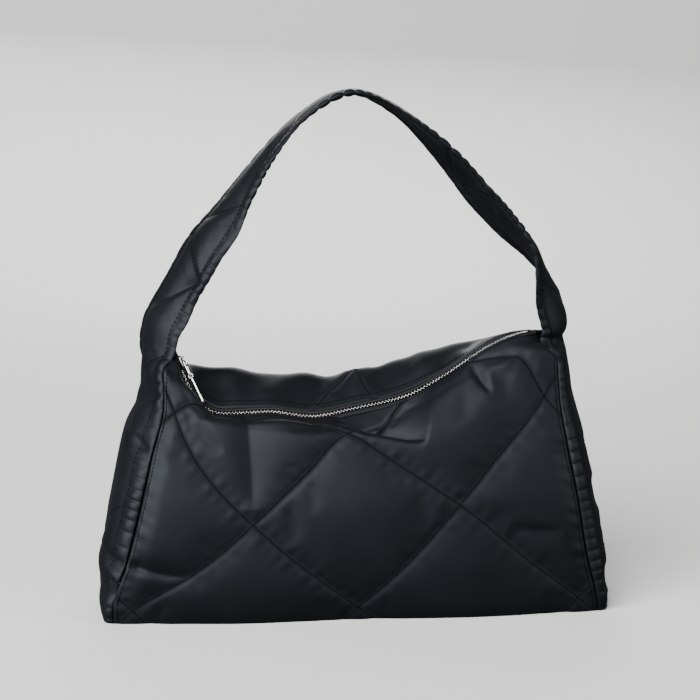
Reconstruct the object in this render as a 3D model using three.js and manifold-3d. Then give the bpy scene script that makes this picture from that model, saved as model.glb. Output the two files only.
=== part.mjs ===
// Quilted shoulder bag: one padded panel folded under as front, base and back, one long padded band that
// is both side gussets and the shoulder strap, and a metal zip along the sagging top edge.
// Millimetres, +Z up, front towards -Y, standing on its base at z = 0.
import * as THREE from 'three';
import Module from 'manifold-3d';

// Driving dimensions
const MIDDLE_X = 1.6; // the middle of its width, brought to the origin when the bag is placed
const SEAM_WALL = 3; // padded cloth where it is stitched down flat
const PANEL_PUFF = 6; // how far a quilted diamond stands proud of its stitching
const BAND_PUFF = 1.8;
const BAND_FILL = 2; // extra thickness along the middle of the band
const SEAM_GAP = 0.25; // half of the gap left along every seam
const PUCKER = 0.7; // gathers along the band's stitched edges

// Quilting: cells of the panel across and along, and the cells from one crossing to the next
const COLUMNS = 26;
const ROWS = 42;
const DIAMOND = 6;
const CROSS_COLUMN = 13; // a crossing of the stitching: panel's middle, just below the zip
const CROSS_ROW = 4;
const FRONT_FOOT = 17; // rows where the front and the back turn under into the base
const BACK_FOOT = 25;
const PATTERN_LEAN = 1.15; // rows by which the pattern climbs towards the right
const LIP_ROW = 2; // the panel's seams end here, and its corners tuck in behind the strap
const RIM_ROW = 40;
const BOW_POWER = { foot: 4, top: 2 }; // square-shouldered bow at the foot, a round one at the strap
const CORNER_TUCK = { y: 0.46, z: 0.54 }; // shares of the way from the zip to the seam
const FRONT_TUCK = { left: -0.55, right: 0.06 }; // the same along the bag's width
const BACK_TUCK = { left: 0.4, right: 0.3 };
const BACK_REACH = 6; // how far the back top edge runs on past the left end of the zip

// Zip
const TAPE_EDGE = 5.4; // from the middle of the zip to the outer edge of each tape
const TAPE_INNER = 3.3;
const TAPE_THICK = 1;
const PANEL_EDGE = 5.8; // from the middle of the zip to the panel's edge
const TOOTH_PITCH = 2.6;
const CHAIN_HALF = 2.2; // half the width of the closed teeth
const CHAIN_ZIGZAG = 0.4;
const CHAIN_THICK = 2.2;
const SLIDER_RUN = 8; // from the left end of the tapes to the slider
const CHAIN_START = 18.5; // clear of the slider's post
const CHAIN_END = 4; // from the last tooth to the right end of the tapes
const FRONT_TILT = 38; // degrees by which the sagging zip leans to the front

// Zip and top edges, a row for each station from the left strap to the right one: the middle of the zip,
// then the front lip below it and the back rim behind it.
const TOP = [
  { x: -131, y: -5, z: 197, lipY: -26, lipZ: 184, rimY: 25, rimZ: 184 },
  { x: -128.5, y: -9, z: 190, lipY: -28, lipZ: 179, rimY: 19, rimZ: 182 },
  { x: -123, y: -14, z: 175, lipY: -31, lipZ: 172, rimY: 16, rimZ: 180 },
  { x: -113, y: -19, z: 157, lipY: -35, lipZ: 155, rimY: 13, rimZ: 176 },
  { x: -96, y: -22, z: 150, lipY: -37, lipZ: 149, rimY: 13, rimZ: 173 },
  { x: -62, y: -23, z: 151, lipY: -38, lipZ: 146, rimY: 14, rimZ: 169 },
  { x: -30, y: -23, z: 147, lipY: -37, lipZ: 142, rimY: 14, rimZ: 169 },
  { x: 2, y: -21, z: 152, lipY: -36, lipZ: 145, rimY: 14, rimZ: 175 },
  { x: 40, y: -18, z: 160, lipY: -32, lipZ: 152, rimY: 14, rimZ: 182 },
  { x: 66, y: -16, z: 173, lipY: -29, lipZ: 166, rimY: 12, rimZ: 191 },
  { x: 103, y: -13, z: 196, lipY: -26, lipZ: 188, rimY: 9, rimZ: 200 },
  { x: 117, y: -12, z: 202, lipY: -25, lipZ: 193, rimY: 9, rimZ: 204 },
  { x: 130, y: -11, z: 205, lipY: -25, lipZ: 193, rimY: 15, rimZ: 201 },
  { x: 136, y: -9, z: 205.5, lipY: -26, lipZ: 188, rimY: 25, rimZ: 192 },
];

// Panel below the top edges, a row for each level: where its middle and its side seams run, half its
// width there, how far that level has slid to the right and how far its left half is pulled to the left.
const WALLS = [
  { row: 2, half: 144.5, slid: 6.5, pull: 12 },
  { row: 4, half: 145, slid: 7, pull: 25, midY: -44, midZ: 138, sideY: -34, sideZ: 160 },
  { row: 7, half: 152, slid: 5, pull: 15, midY: -53, midZ: 110, sideY: -44, sideZ: 123 },
  { row: 10, half: 160, slid: 4, pull: 9, midY: -59, midZ: 79, sideY: -51, sideZ: 85 },
  { row: 13, half: 168, slid: 2, pull: 4, midY: -61, midZ: 44, sideY: -54, sideZ: 47 },
  { row: 16, half: 178, slid: 1, pull: 0, midY: -57, midZ: 11, sideY: -52, sideZ: 12 },
  { row: 17, half: 179, slid: 2, pull: 0, midY: -51, midZ: 0, sideY: -48, sideZ: 0 },
  { row: 25, half: 179, slid: 2, pull: 0, midY: 51, midZ: 0, sideY: 48, sideZ: 0 },
  { row: 26, half: 178, slid: 1, pull: 0, midY: 57, midZ: 11, sideY: 52, sideZ: 12 },
  { row: 29, half: 168, slid: 2, pull: 0, midY: 61, midZ: 44, sideY: 54, sideZ: 47 },
  { row: 32, half: 160, slid: 4, pull: 0, midY: 60, midZ: 81, sideY: 51, sideZ: 85 },
  { row: 35, half: 154, slid: 4, pull: 0, midY: 53, midZ: 116, sideY: 44, sideZ: 123 },
  { row: 38, half: 153, slid: 3, pull: 0, midY: 37, midZ: 150, sideY: 33, sideZ: 160 },
  { row: 40, half: 157, slid: 4, pull: 0 },
];

// Folds in the front, a row for each: the line it follows, its half width and its height (below 0: a dent).
const FOLDS = [
  { x0: -74, z0: 146, x1: -76, z1: 92, reach: 10, height: -6 },
  { x0: -104, z0: 150, x1: -92, z1: 112, reach: 15, height: 4 },
  { x0: 6, z0: 142, x1: 60, z1: 148, reach: 11, height: -6 },
  { x0: 92, z0: 176, x1: 104, z1: 160, reach: 8, height: -3 },
  { x0: 118, z0: 132, x1: 122, z1: 74, reach: 12, height: -2 },
  { x0: 120, z0: 71, x1: 150, z1: 67, reach: 8, height: -3 },
  { x0: -164, z0: 46, x1: -124, z1: 35, reach: 9, height: -3.5 },
];

// How far each gusset bows outwards, by the panel's row at its front seam. The last row is the base.
const GUSSET = [
  { row: 2, left: 7, right: 6 },
  { row: 4, left: 12, right: 11 },
  { row: 7, left: 21, right: 17 },
  { row: 13, left: 20, right: 18 },
  { row: 16, left: 11, right: 12 },
  { row: 17, left: 9, right: 10 },
];

// Shoulder strap from the left gusset over to the right one, a row for each station: the middle of the
// band, how far its outer face turns to the front in degrees, its width and how much it curls.
const STRAP = [
  { x: -143, y: 0, z: 196, turn: 31, width: 52, curl: 6 },
  { x: -139, y: 1, z: 212, turn: 33, width: 52, curl: 8 },
  { x: -121, y: 1, z: 245, turn: 34, width: 50, curl: 8 },
  { x: -106, y: 1, z: 270, turn: 33, width: 50, curl: 8 },
  { x: -91, y: 1, z: 290, turn: 28, width: 49, curl: 7 },
  { x: -65, y: 0, z: 331, turn: 10, width: 48, curl: 4 },
  { x: -34, y: 0, z: 366, turn: 3, width: 47, curl: 2 },
  { x: 0, y: 0, z: 383, turn: 0, width: 46, curl: 1 },
  { x: 36, y: 0, z: 368, turn: -4, width: 47, curl: 2 },
  { x: 72, y: 0, z: 334, turn: -14, width: 48, curl: 6 },
  { x: 98, y: 0, z: 304, turn: -20, width: 49, curl: 7 },
  { x: 118, y: 0, z: 281, turn: -16, width: 50, curl: 7 },
  { x: 133, y: 0, z: 263, turn: -4, width: 51, curl: 7 },
  { x: 141, y: 0, z: 246, turn: 14, width: 53, curl: 7 },
  { x: 149, y: 0, z: 226, turn: 29, width: 55, curl: 8 },
  { x: 153, y: 0, z: 209, turn: 28, width: 54, curl: 9 },
  { x: 153, y: 0, z: 200, turn: 25, width: 53, curl: 6 },
];
const STRAP_STEP = 13; // length of one cell along the strap

// Slider and pull
const PULL_LIFT = 6; // degrees by which the resting pull stands off the teeth
const SLIDER_LENGTH = 10;
const SLIDER_WIDTH = 8.4;
const SLIDER_PLATE = 1.2;
const SLIDER_CLEAR = 0.45; // above and below the teeth
const POST_WIDTH = 2.4;
const POST_LENGTH = 2.2;
const BRIDGE_WIDTH = 1.6;
const BRIDGE_LENGTH = 7.6;
const BRIDGE_HEIGHT = 3.6;
const BRIDGE_BAR = 1.1;
const LINK_LENGTH = 13;
const LINK_WIDTH = 7;
const LINK_WIRE = 1.2;
const TAB_LENGTH = 22;
const TAB_WIDTH = 4.6;
const TAB_THICK = 1.2;
const TAB_END = 7; // the thicker grip at the tab's free end
const TAB_END_THICK = 1.9;
const EYE_OUTER = 1.9; // radii of the rolled eye that hangs on the link
const EYE_INNER = 1.15;
const EYE_WIDTH = 3.8;

const column = (rows, name) => rows.map((row) => row[name]);
const mix = (a, b, t) => a + (b - a) * t;

// Piecewise cubic through its rows that never overshoots them.
function smoothCurve(at, values) {
  const last = at.length - 1;
  const step = at.slice(1).map((a, i) => a - at[i]);
  const slope = step.map((h, i) => (values[i + 1] - values[i]) / h);
  const tangent = values.map((_, i) => {
    if (i === 0) return slope[0];
    if (i === last) return slope[last - 1];
    if (slope[i - 1] * slope[i] <= 0) return 0;
    const before = 2 * step[i] + step[i - 1];
    const after = step[i] + 2 * step[i - 1];
    return (before + after) / (before / slope[i - 1] + after / slope[i]);
  });
  return (t) => {
    const i = Math.max(0, at.slice(1, last).filter((a) => a <= t).length);
    const s = (t - at[i]) / step[i];
    const rise = values[i + 1] - values[i];
    const bend = step[i] * (tangent[i] * (1 - s) - tangent[i + 1] * s);
    return values[i] + rise * s * s * (3 - 2 * s) + bend * s * (1 - s);
  };
}

// Zip line: u runs from -1 at the left strap to 1 at the right one, by length along the zip.
const zipRun = [0];
TOP.slice(1).forEach((row, i) => {
  const length = Math.hypot(row.x - TOP[i].x, row.y - TOP[i].y, row.z - TOP[i].z);
  zipRun.push(zipRun[i] + length);
});
const zipLength = zipRun[zipRun.length - 1];
const zipU = zipRun.map((run) => (2 * run) / zipLength - 1);
const top = {};
Object.keys(TOP[0]).forEach((name) => {
  top[name] = smoothCurve(zipU, column(TOP, name));
});

// Middle of the zip at u, with the directions along it, out of its face and across it to the back.
function zipFrame(u) {
  const nudge = 0.01;
  const before = Math.max(u - nudge, -1);
  const after = Math.min(u + nudge, 1);
  const spot = (t) => new THREE.Vector3(top.x(t), top.y(t), top.z(t));
  const along = spot(after).sub(spot(before)).normalize();
  const tilt = THREE.MathUtils.degToRad(FRONT_TILT) * (1 - u ** 4);
  const rise = new THREE.Vector3(-along.z, 0, along.x).normalize();
  const lean = rise.multiplyScalar(Math.cos(tilt)).add(new THREE.Vector3(0, -Math.sin(tilt), 0));
  const across = lean.cross(along).normalize();
  const out = along.clone().cross(across).normalize();
  return { point: spot(u), along, across, out };
}

// Point at a distance across and out from the middle of the zip.
function zipPoint(u, across, out) {
  const frame = zipFrame(u);
  return frame.point.addScaledVector(frame.across, across).addScaledVector(frame.out, out);
}

const baseRow = GUSSET[GUSSET.length - 1];

// Panel before its quilting: u across it from the left seam to the right one, row along it from the
// front zip edge, down the front, under the base and up the back to the back zip edge.
function panelPoint(u, row) {
  const front = zipPoint(u, -PANEL_EDGE, SEAM_WALL / 2);
  const back = zipPoint(u, PANEL_EDGE, SEAM_WALL / 2);
  if (u < 0) back.x -= u ** 24 * BACK_REACH;
  const side = Math.abs(u) ** 2.2;
  const level = WALLS.map((wall) => {
    const x = wall.slid + wall.half * u - wall.pull * (1 - u * u) * (1 - u) / 2;
    if (wall.row === LIP_ROW) return { x, y: top.lipY(u), z: top.lipZ(u) };
    if (wall.row === RIM_ROW) return { x, y: top.rimY(u), z: top.rimZ(u) };
    return { x, y: mix(wall.midY, wall.sideY, side), z: mix(wall.midZ, wall.sideZ, side) };
  });
  const tuck = (edge, seam, ends) => ({
    x: mix(edge.x, seam.x, mix(ends.left, ends.right, (1 + u) / 2)),
    y: mix(edge.y, seam.y, CORNER_TUCK.y),
    z: mix(edge.z, seam.z, CORNER_TUCK.z),
  });
  const first = tuck(front, level[0], FRONT_TUCK);
  const final = tuck(back, level[level.length - 1], BACK_TUCK);
  const knots = [front, first, ...level, final, back];
  const at = [0, 1, ...column(WALLS, 'row'), ROWS - 1, ROWS];
  const leaning = row > 0 && row < FRONT_FOOT ? Math.sin((Math.PI * row) / FRONT_FOOT) : 0;
  const fade = 1 - Math.abs(u) ** 6;
  const t = row - PATTERN_LEAN * u * leaning * fade;
  const place = (name) => smoothCurve(at, column(knots, name))(t);
  const point = new THREE.Vector3(place('x'), place('y'), place('z'));
  if (row > FRONT_FOOT && row < BACK_FOOT) {
    const w = (2 * (row - FRONT_FOOT)) / (BACK_FOOT - FRONT_FOOT) - 1;
    const bow = u < 0 ? baseRow.left : baseRow.right;
    point.x += Math.sign(u) * u * u * bow * (1 - Math.abs(w) ** BOW_POWER.foot);
  }
  return point;
}

// Grid of points with wide cells along i and long cells along j.
function makeGrid(wide, long, place) {
  const grid = [];
  for (let i = 0; i <= wide; i += 1) {
    grid.push([]);
    for (let j = 0; j <= long; j += 1) grid[i].push(place(i, j));
  }
  return grid;
}

// Outward directions of a grid of points, from each point's neighbours.
function gridNormals(grid) {
  const wide = grid.length - 1;
  const long = grid[0].length - 1;
  return makeGrid(wide, long, (i, j) => {
    const along = grid[i][Math.min(j + 1, long)].clone().sub(grid[i][Math.max(j - 1, 0)]);
    const across = grid[Math.min(i + 1, wide)][j].clone().sub(grid[Math.max(i - 1, 0)][j]);
    return along.cross(across).normalize();
  });
}

// Closed wall between an outer and an inner grid. crosses(i, j) says where a cell's fold runs from its
// first corner to its last one and not the other way. The rim's cells are split along their short way.
function wallGeometry(outer, inner, crosses) {
  const wide = outer.length - 1;
  const long = outer[0].length - 1;
  const positions = [];
  [outer, inner].forEach((grid) => grid.forEach((line) => line.forEach((p) => positions.push(p.x, p.y, p.z))));
  const o = (i, j) => i * (long + 1) + j;
  const n = (i, j) => (wide + 1) * (long + 1) + o(i, j);
  const index = [];
  for (let i = 0; i < wide; i += 1) {
    for (let j = 0; j < long; j += 1) {
      const [a, b, c, d] = [o(i, j), o(i + 1, j), o(i, j + 1), o(i + 1, j + 1)];
      const [e, f, g, h] = [n(i, j), n(i + 1, j), n(i, j + 1), n(i + 1, j + 1)];
      if (crosses(i, j)) index.push(a, c, d, a, d, b, e, h, g, e, f, h);
      else index.push(a, c, b, b, c, d, e, f, g, f, h, g);
    }
  }
  const at = (v) => new THREE.Vector3().fromArray(positions, 3 * v);
  const rim = (a, b, innerB, innerA) => {
    const short = at(a).distanceTo(at(innerB)) < at(b).distanceTo(at(innerA));
    if (short) index.push(a, b, innerB, a, innerB, innerA);
    else index.push(a, b, innerA, b, innerB, innerA);
  };
  for (let i = 0; i < wide; i += 1) {
    rim(o(i, 0), o(i + 1, 0), n(i + 1, 0), n(i, 0));
    rim(o(i + 1, long), o(i, long), n(i, long), n(i + 1, long));
  }
  for (let j = 0; j < long; j += 1) {
    rim(o(0, j + 1), o(0, j), n(0, j), n(0, j + 1));
    rim(o(wide, j), o(wide, j + 1), n(wide, j + 1), n(wide, j));
  }
  const geometry = new THREE.BufferGeometry();
  geometry.setAttribute('position', new THREE.Float32BufferAttribute(positions, 3));
  geometry.setIndex(index);
  return geometry;
}

// Height of a quilted diamond over its stitching, from 0 on the lines to 1, by column and row.
function quilting(i, j) {
  const first = Math.sin((Math.PI * (i - CROSS_COLUMN + j - CROSS_ROW)) / (2 * DIAMOND));
  const second = Math.sin((Math.PI * (i - CROSS_COLUMN - j + CROSS_ROW)) / (2 * DIAMOND));
  return Math.abs(first * second) ** 0.6;
}

// Folds and dents of the front at a point.
function foldHeight(point) {
  return FOLDS.reduce((sum, fold) => {
    const run = new THREE.Vector2(fold.x1 - fold.x0, fold.z1 - fold.z0);
    const from = new THREE.Vector2(point.x - fold.x0, point.z - fold.z0);
    const part = THREE.MathUtils.clamp(from.dot(run) / run.lengthSq(), 0, 1);
    const away = from.addScaledVector(run, -part).length();
    return sum + fold.height * Math.exp(-((away / fold.reach) ** 2));
  }, 0);
}

const uOf = (i) => (2 * i) / COLUMNS - 1;
const panel = makeGrid(COLUMNS, ROWS, (i, j) => panelPoint(uOf(i), j));
const panelOut = gridNormals(panel);

// Band that makes both gussets and the strap: a station for each row of the gussets and each cell of the
// strap, with its front edge, its back edge and how far it bows outwards between them.
function gussetStations(i, side) {
  const bow = smoothCurve(column(GUSSET, 'row'), column(GUSSET, side));
  const stations = [];
  for (let row = FRONT_FOOT; row >= LIP_ROW; row -= 1) {
    const backRow = BACK_FOOT + FRONT_FOOT - row;
    const power = mix(BOW_POWER.top, BOW_POWER.foot, (row - LIP_ROW) / (FRONT_FOOT - LIP_ROW));
    stations.push({ front: panel[i][row].clone(), back: panel[i][backRow].clone(), bow: bow(row), power });
  }
  return stations;
}

function strapStations() {
  const path = new THREE.CatmullRomCurve3(STRAP.map((row) => new THREE.Vector3(row.x, row.y, row.z)));
  const at = STRAP.map((_, i) => i);
  const turn = smoothCurve(at, column(STRAP, 'turn'));
  const width = smoothCurve(at, column(STRAP, 'width'));
  const curl = smoothCurve(at, column(STRAP, 'curl'));
  const stations = [];
  const last = STRAP.length - 1;
  for (let i = 0; i < last; i += 1) {
    const length = path.points[i].distanceTo(path.points[i + 1]);
    const steps = Math.max(1, Math.round(length / STRAP_STEP));
    for (let k = 0; k < steps; k += 1) stations.push(i + k / steps);
  }
  stations.push(last);
  return stations.map((t) => {
    const along = path.getTangent(t / last);
    const outward = new THREE.Vector3(-along.z, 0, along.x).normalize();
    const angle = THREE.MathUtils.degToRad(turn(t));
    const across = new THREE.Vector3(0, Math.cos(angle), 0).addScaledVector(outward, Math.sin(angle));
    const half = across.multiplyScalar(width(t) / 2);
    const middle = path.getPoint(t / last);
    const ends = { front: middle.clone().sub(half), back: middle.clone().add(half) };
    return { ...ends, bow: curl(t), power: BOW_POWER.top };
  });
}

const leftGusset = gussetStations(0, 'left');
const rightGusset = gussetStations(COLUMNS, 'right').reverse();
const bandStations = [...leftGusset, ...strapStations(), ...rightGusset];
const bandLast = bandStations.length - 1;
const BAND_CELLS = BACK_FOOT - FRONT_FOOT;
const wOf = (i) => (2 * i) / BAND_CELLS - 1;
const bandMiddle = (station) => station.front.clone().add(station.back).multiplyScalar(0.5);
const band = makeGrid(BAND_CELLS, bandLast, (i, j) => {
  if (j === 0) return panel[0][FRONT_FOOT + i].clone();
  if (j === bandLast) return panel[COLUMNS][FRONT_FOOT + i].clone();
  const { front, back, bow, power } = bandStations[j];
  const along = bandMiddle(bandStations[j + 1]).sub(bandMiddle(bandStations[j - 1]));
  const outward = along.cross(back.clone().sub(front)).normalize();
  const w = wOf(i);
  const rise = bow * (1 - Math.abs(w) ** power);
  return front.clone().lerp(back, (w + 1) / 2).addScaledVector(outward, rise);
});
const bandOut = gridNormals(band);

// Seams: both walls are cut along one plane between their outward directions, half a gap to each side.
function seam(point, panelOutward, bandOutward) {
  const towardsPanel = panelOutward.clone().sub(bandOutward).normalize();
  const inward = panelOutward.clone().add(bandOutward).normalize().negate();
  const depth = SEAM_WALL / Math.max(0.6, -inward.dot(panelOutward));
  const edge = (shift) => {
    const outer = point.clone().addScaledVector(towardsPanel, shift);
    return { outer, inner: outer.clone().addScaledVector(inward, depth) };
  };
  return { panel: edge(SEAM_GAP), band: edge(-SEAM_GAP) };
}

const panelOuter = makeGrid(COLUMNS, ROWS, (i, j) => {
  const point = panel[i][j].clone();
  const edge = Math.min(i, COLUMNS - i) / 1.5;
  const rim = 0.35 + Math.min(j, ROWS - j) / 3;
  const puff = PANEL_PUFF * quilting(i, j) * Math.min(1, edge) * Math.min(1, rim);
  const fold = j > 0 && j < FRONT_FOOT && edge > 0 ? foldHeight(point) : 0;
  return point.addScaledVector(panelOut[i][j], puff + fold);
});
const panelInner = makeGrid(COLUMNS, ROWS, (i, j) => {
  const point = panel[i][j].clone();
  const edge = Math.min(i, COLUMNS - i);
  const fold = j > 0 && j < FRONT_FOOT && edge > 0 ? foldHeight(point) : 0;
  const out = j === 0 || j === ROWS ? zipFrame(uOf(i)).out : panelOut[i][j];
  return point.addScaledVector(out, fold - SEAM_WALL);
});
const bandOuter = makeGrid(BAND_CELLS, bandLast, (i, j) => {
  const fromEdge = Math.min(i, BAND_CELLS - i);
  const gathered = fromEdge === 1 ? PUCKER * (-1) ** j : 0;
  const puff = fromEdge > 1 ? BAND_PUFF * quilting(i + CROSS_COLUMN - BAND_CELLS / 2, j) : 0;
  return band[i][j].clone().addScaledVector(bandOut[i][j], fromEdge > 0 ? puff + gathered : 0);
});
const bandInner = makeGrid(BAND_CELLS, bandLast, (i, j) => {
  const w = wOf(i);
  const thick = SEAM_WALL + BAND_FILL * (1 - w ** 4);
  return band[i][j].clone().addScaledVector(bandOut[i][j], -thick);
});

function sewSeam(column, row, across, station) {
  const cut = seam(panel[column][row], panelOut[column][row], bandOut[across][station]);
  panelOuter[column][row] = cut.panel.outer;
  panelInner[column][row] = cut.panel.inner;
  bandOuter[across][station] = cut.band.outer;
  bandInner[across][station] = cut.band.inner;
}
leftGusset.forEach((_, k) => {
  sewSeam(0, FRONT_FOOT - k, 0, k);
  sewSeam(0, BACK_FOOT + k, BAND_CELLS, k);
  sewSeam(COLUMNS, FRONT_FOOT - k, 0, bandLast - k);
  sewSeam(COLUMNS, BACK_FOOT + k, BAND_CELLS, bandLast - k);
});
for (let i = 1; i < BAND_CELLS; i += 1) {
  sewSeam(0, FRONT_FOOT + i, i, 0);
  sewSeam(COLUMNS, FRONT_FOOT + i, i, bandLast);
}

// The cloth lies flat where the bag stands on it.
panelOuter.forEach((line) => line.forEach((point, j) => {
  if (j >= FRONT_FOOT && j <= BACK_FOOT) point.z = 0;
  else point.z = Math.max(point.z, 0);
}));
bandOuter.forEach((line) => line.forEach((point) => {
  point.z = Math.max(point.z, 0);
}));

const onSecondLine = (i, j) => (i - CROSS_COLUMN - j + CROSS_ROW) % (2 * DIAMOND) === 0;
const panelGeometry = wallGeometry(panelOuter, panelInner, onSecondLine);
const bandGeometry = wallGeometry(bandOuter, bandInner, () => false);

// Strip along the zip with a four-cornered section, given by its corners across and out at each step.
function zipStrip(start, end, steps, corners) {
  const ring = (k) => {
    const run = mix(start, end, k / steps);
    return corners(k).map(([across, out]) => zipPoint((2 * run) / zipLength - 1, across, out));
  };
  const positions = [];
  for (let k = 0; k <= steps; k += 1) ring(k).forEach((p) => positions.push(p.x, p.y, p.z));
  const index = [];
  for (let k = 0; k < steps; k += 1) {
    for (let c = 0; c < 4; c += 1) {
      const [a, b] = [4 * k + c, 4 * k + ((c + 1) % 4)];
      index.push(a, b, a + 4, b, b + 4, a + 4);
    }
  }
  const end4 = 4 * steps;
  index.push(0, 2, 1, 0, 3, 2, end4, end4 + 1, end4 + 2, end4, end4 + 2, end4 + 3);
  const geometry = new THREE.BufferGeometry();
  geometry.setAttribute('position', new THREE.Float32BufferAttribute(positions, 3));
  geometry.setIndex(index);
  return geometry;
}

const tapeCorners = (near, far) => [
  [near, -TAPE_THICK / 2],
  [far, -TAPE_THICK / 2],
  [far, TAPE_THICK / 2],
  [near, TAPE_THICK / 2],
];
const chainSteps = Math.round((zipLength - CHAIN_END - CHAIN_START) / TOOTH_PITCH);
const chainCorners = (k) => {
  const shift = CHAIN_ZIGZAG * (-1) ** k;
  return [
    [shift - CHAIN_HALF, -CHAIN_THICK / 2],
    [shift + CHAIN_HALF, -CHAIN_THICK / 2],
    [shift + CHAIN_HALF, CHAIN_THICK / 2],
    [shift - CHAIN_HALF, CHAIN_THICK / 2],
  ];
};
const frontTape = zipStrip(0, zipLength, COLUMNS, () => tapeCorners(-TAPE_EDGE, -TAPE_INNER));
const backTape = zipStrip(0, zipLength, COLUMNS, () => tapeCorners(TAPE_INNER, TAPE_EDGE));
const chain = zipStrip(CHAIN_START, zipLength - CHAIN_END, chainSteps, chainCorners);

// Solid joins for the slider and the pull
const wasm = await Module();
wasm.setup();

function solidOf(geometry) {
  const flat = geometry.index ? geometry.toNonIndexed() : geometry;
  const place = flat.getAttribute('position');
  const seen = new Map();
  const vertices = [];
  const triangles = [];
  for (let i = 0; i < place.count; i += 1) {
    const point = [place.getX(i), place.getY(i), place.getZ(i)];
    const key = point.map((value) => Math.round(value * 1e4)).join(' ');
    if (!seen.has(key)) {
      seen.set(key, vertices.length / 3);
      vertices.push(...point);
    }
    triangles.push(seen.get(key));
  }
  const mesh = new wasm.Mesh({
    numProp: 3,
    vertProperties: new Float32Array(vertices),
    triVerts: new Uint32Array(triangles),
  });
  return new wasm.Manifold(mesh);
}

function geometryOf(solid) {
  const mesh = solid.getMesh();
  const geometry = new THREE.BufferGeometry();
  geometry.setAttribute('position', new THREE.Float32BufferAttribute(mesh.vertProperties, 3));
  geometry.setIndex(Array.from(mesh.triVerts));
  return geometry;
}

// Block with its length along x, its width along y and its height along z.
function block(length, width, height, x, z) {
  return new THREE.BoxGeometry(length, width, height).translate(x, 0, z);
}

// Flat outline drawn in x (along the zip) and y (across or up), given a thickness along its normal.
function plate(outline, thick, bottom) {
  const geometry = new THREE.ExtrudeGeometry(outline, { depth: thick, bevelEnabled: false, curveSegments: 6 });
  return geometry.translate(0, 0, bottom);
}

// Slider in its own frame: x along the zip from its post, y across, z out of the zip's face.
const plateLow = CHAIN_THICK / 2 + SLIDER_CLEAR;
const plateTop = plateLow + SLIDER_PLATE;
const bridgeMiddle = SLIDER_LENGTH / 2;
function sliderOutline() {
  const half = SLIDER_WIDTH / 2;
  const waist = half * 0.72;
  const outline = new THREE.Shape();
  outline.moveTo(0.6, -half);
  outline.lineTo(SLIDER_LENGTH * 0.45, -half);
  outline.lineTo(SLIDER_LENGTH - 0.8, -waist);
  outline.quadraticCurveTo(SLIDER_LENGTH, -waist, SLIDER_LENGTH, -waist + 0.8);
  outline.lineTo(SLIDER_LENGTH, waist - 0.8);
  outline.quadraticCurveTo(SLIDER_LENGTH, waist, SLIDER_LENGTH - 0.8, waist);
  outline.lineTo(SLIDER_LENGTH * 0.45, half);
  outline.lineTo(0.6, half);
  outline.quadraticCurveTo(0, 0, 0.6, -half);
  return outline;
}
function sliderGeometry() {
  const upper = solidOf(plate(sliderOutline(), SLIDER_PLATE, plateLow));
  const lower = solidOf(plate(sliderOutline(), SLIDER_PLATE, -plateTop));
  const post = solidOf(block(POST_LENGTH, POST_WIDTH, 2 * plateLow + SLIDER_PLATE, 1.6 + POST_LENGTH / 2, 0));
  const arch = new THREE.Shape();
  const foot = BRIDGE_LENGTH / 2;
  arch.moveTo(-foot, -SLIDER_PLATE / 2);
  arch.lineTo(-foot, BRIDGE_HEIGHT * 0.55);
  arch.quadraticCurveTo(-foot, BRIDGE_HEIGHT, 0, BRIDGE_HEIGHT);
  arch.quadraticCurveTo(foot, BRIDGE_HEIGHT, foot, BRIDGE_HEIGHT * 0.55);
  arch.lineTo(foot, -SLIDER_PLATE / 2);
  arch.lineTo(foot - BRIDGE_BAR, -SLIDER_PLATE / 2);
  arch.lineTo(foot - BRIDGE_BAR, BRIDGE_HEIGHT * 0.5);
  arch.quadraticCurveTo(foot - BRIDGE_BAR, BRIDGE_HEIGHT - BRIDGE_BAR, 0, BRIDGE_HEIGHT - BRIDGE_BAR);
  arch.quadraticCurveTo(BRIDGE_BAR - foot, BRIDGE_HEIGHT - BRIDGE_BAR, BRIDGE_BAR - foot, BRIDGE_HEIGHT * 0.5);
  arch.lineTo(BRIDGE_BAR - foot, -SLIDER_PLATE / 2);
  const bridge = plate(arch, BRIDGE_WIDTH, -BRIDGE_WIDTH / 2).rotateX(Math.PI / 2);
  bridge.translate(bridgeMiddle, 0, plateTop);
  return geometryOf(upper.add(lower).add(post).add(solidOf(bridge)));
}

// Wire link of the pull, lying along x from its upper bar, which hangs in the bridge.
function roundedFrame(length, width, corner) {
  const half = width / 2;
  const outline = new THREE.Shape();
  outline.moveTo(corner, -half);
  outline.lineTo(length - corner, -half);
  outline.quadraticCurveTo(length, -half, length, corner - half);
  outline.lineTo(length, half - corner);
  outline.quadraticCurveTo(length, half, length - corner, half);
  outline.lineTo(corner, half);
  outline.quadraticCurveTo(0, half, 0, half - corner);
  outline.lineTo(0, corner - half);
  outline.quadraticCurveTo(0, -half, corner, -half);
  return outline;
}
function linkGeometry() {
  const outer = roundedFrame(LINK_LENGTH + LINK_WIRE, LINK_WIDTH, 1.4);
  const inside = roundedFrame(LINK_LENGTH - LINK_WIRE, LINK_WIDTH - 2 * LINK_WIRE, 0.5);
  const hole = inside.getPoints(6).map((p) => new THREE.Vector2(p.x + LINK_WIRE, p.y));
  outer.holes.push(new THREE.Path(hole.slice(0, -1)));
  return plate(outer, LINK_WIRE, -LINK_WIRE / 2).translate(-LINK_WIRE / 2, 0, 0);
}

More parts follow.
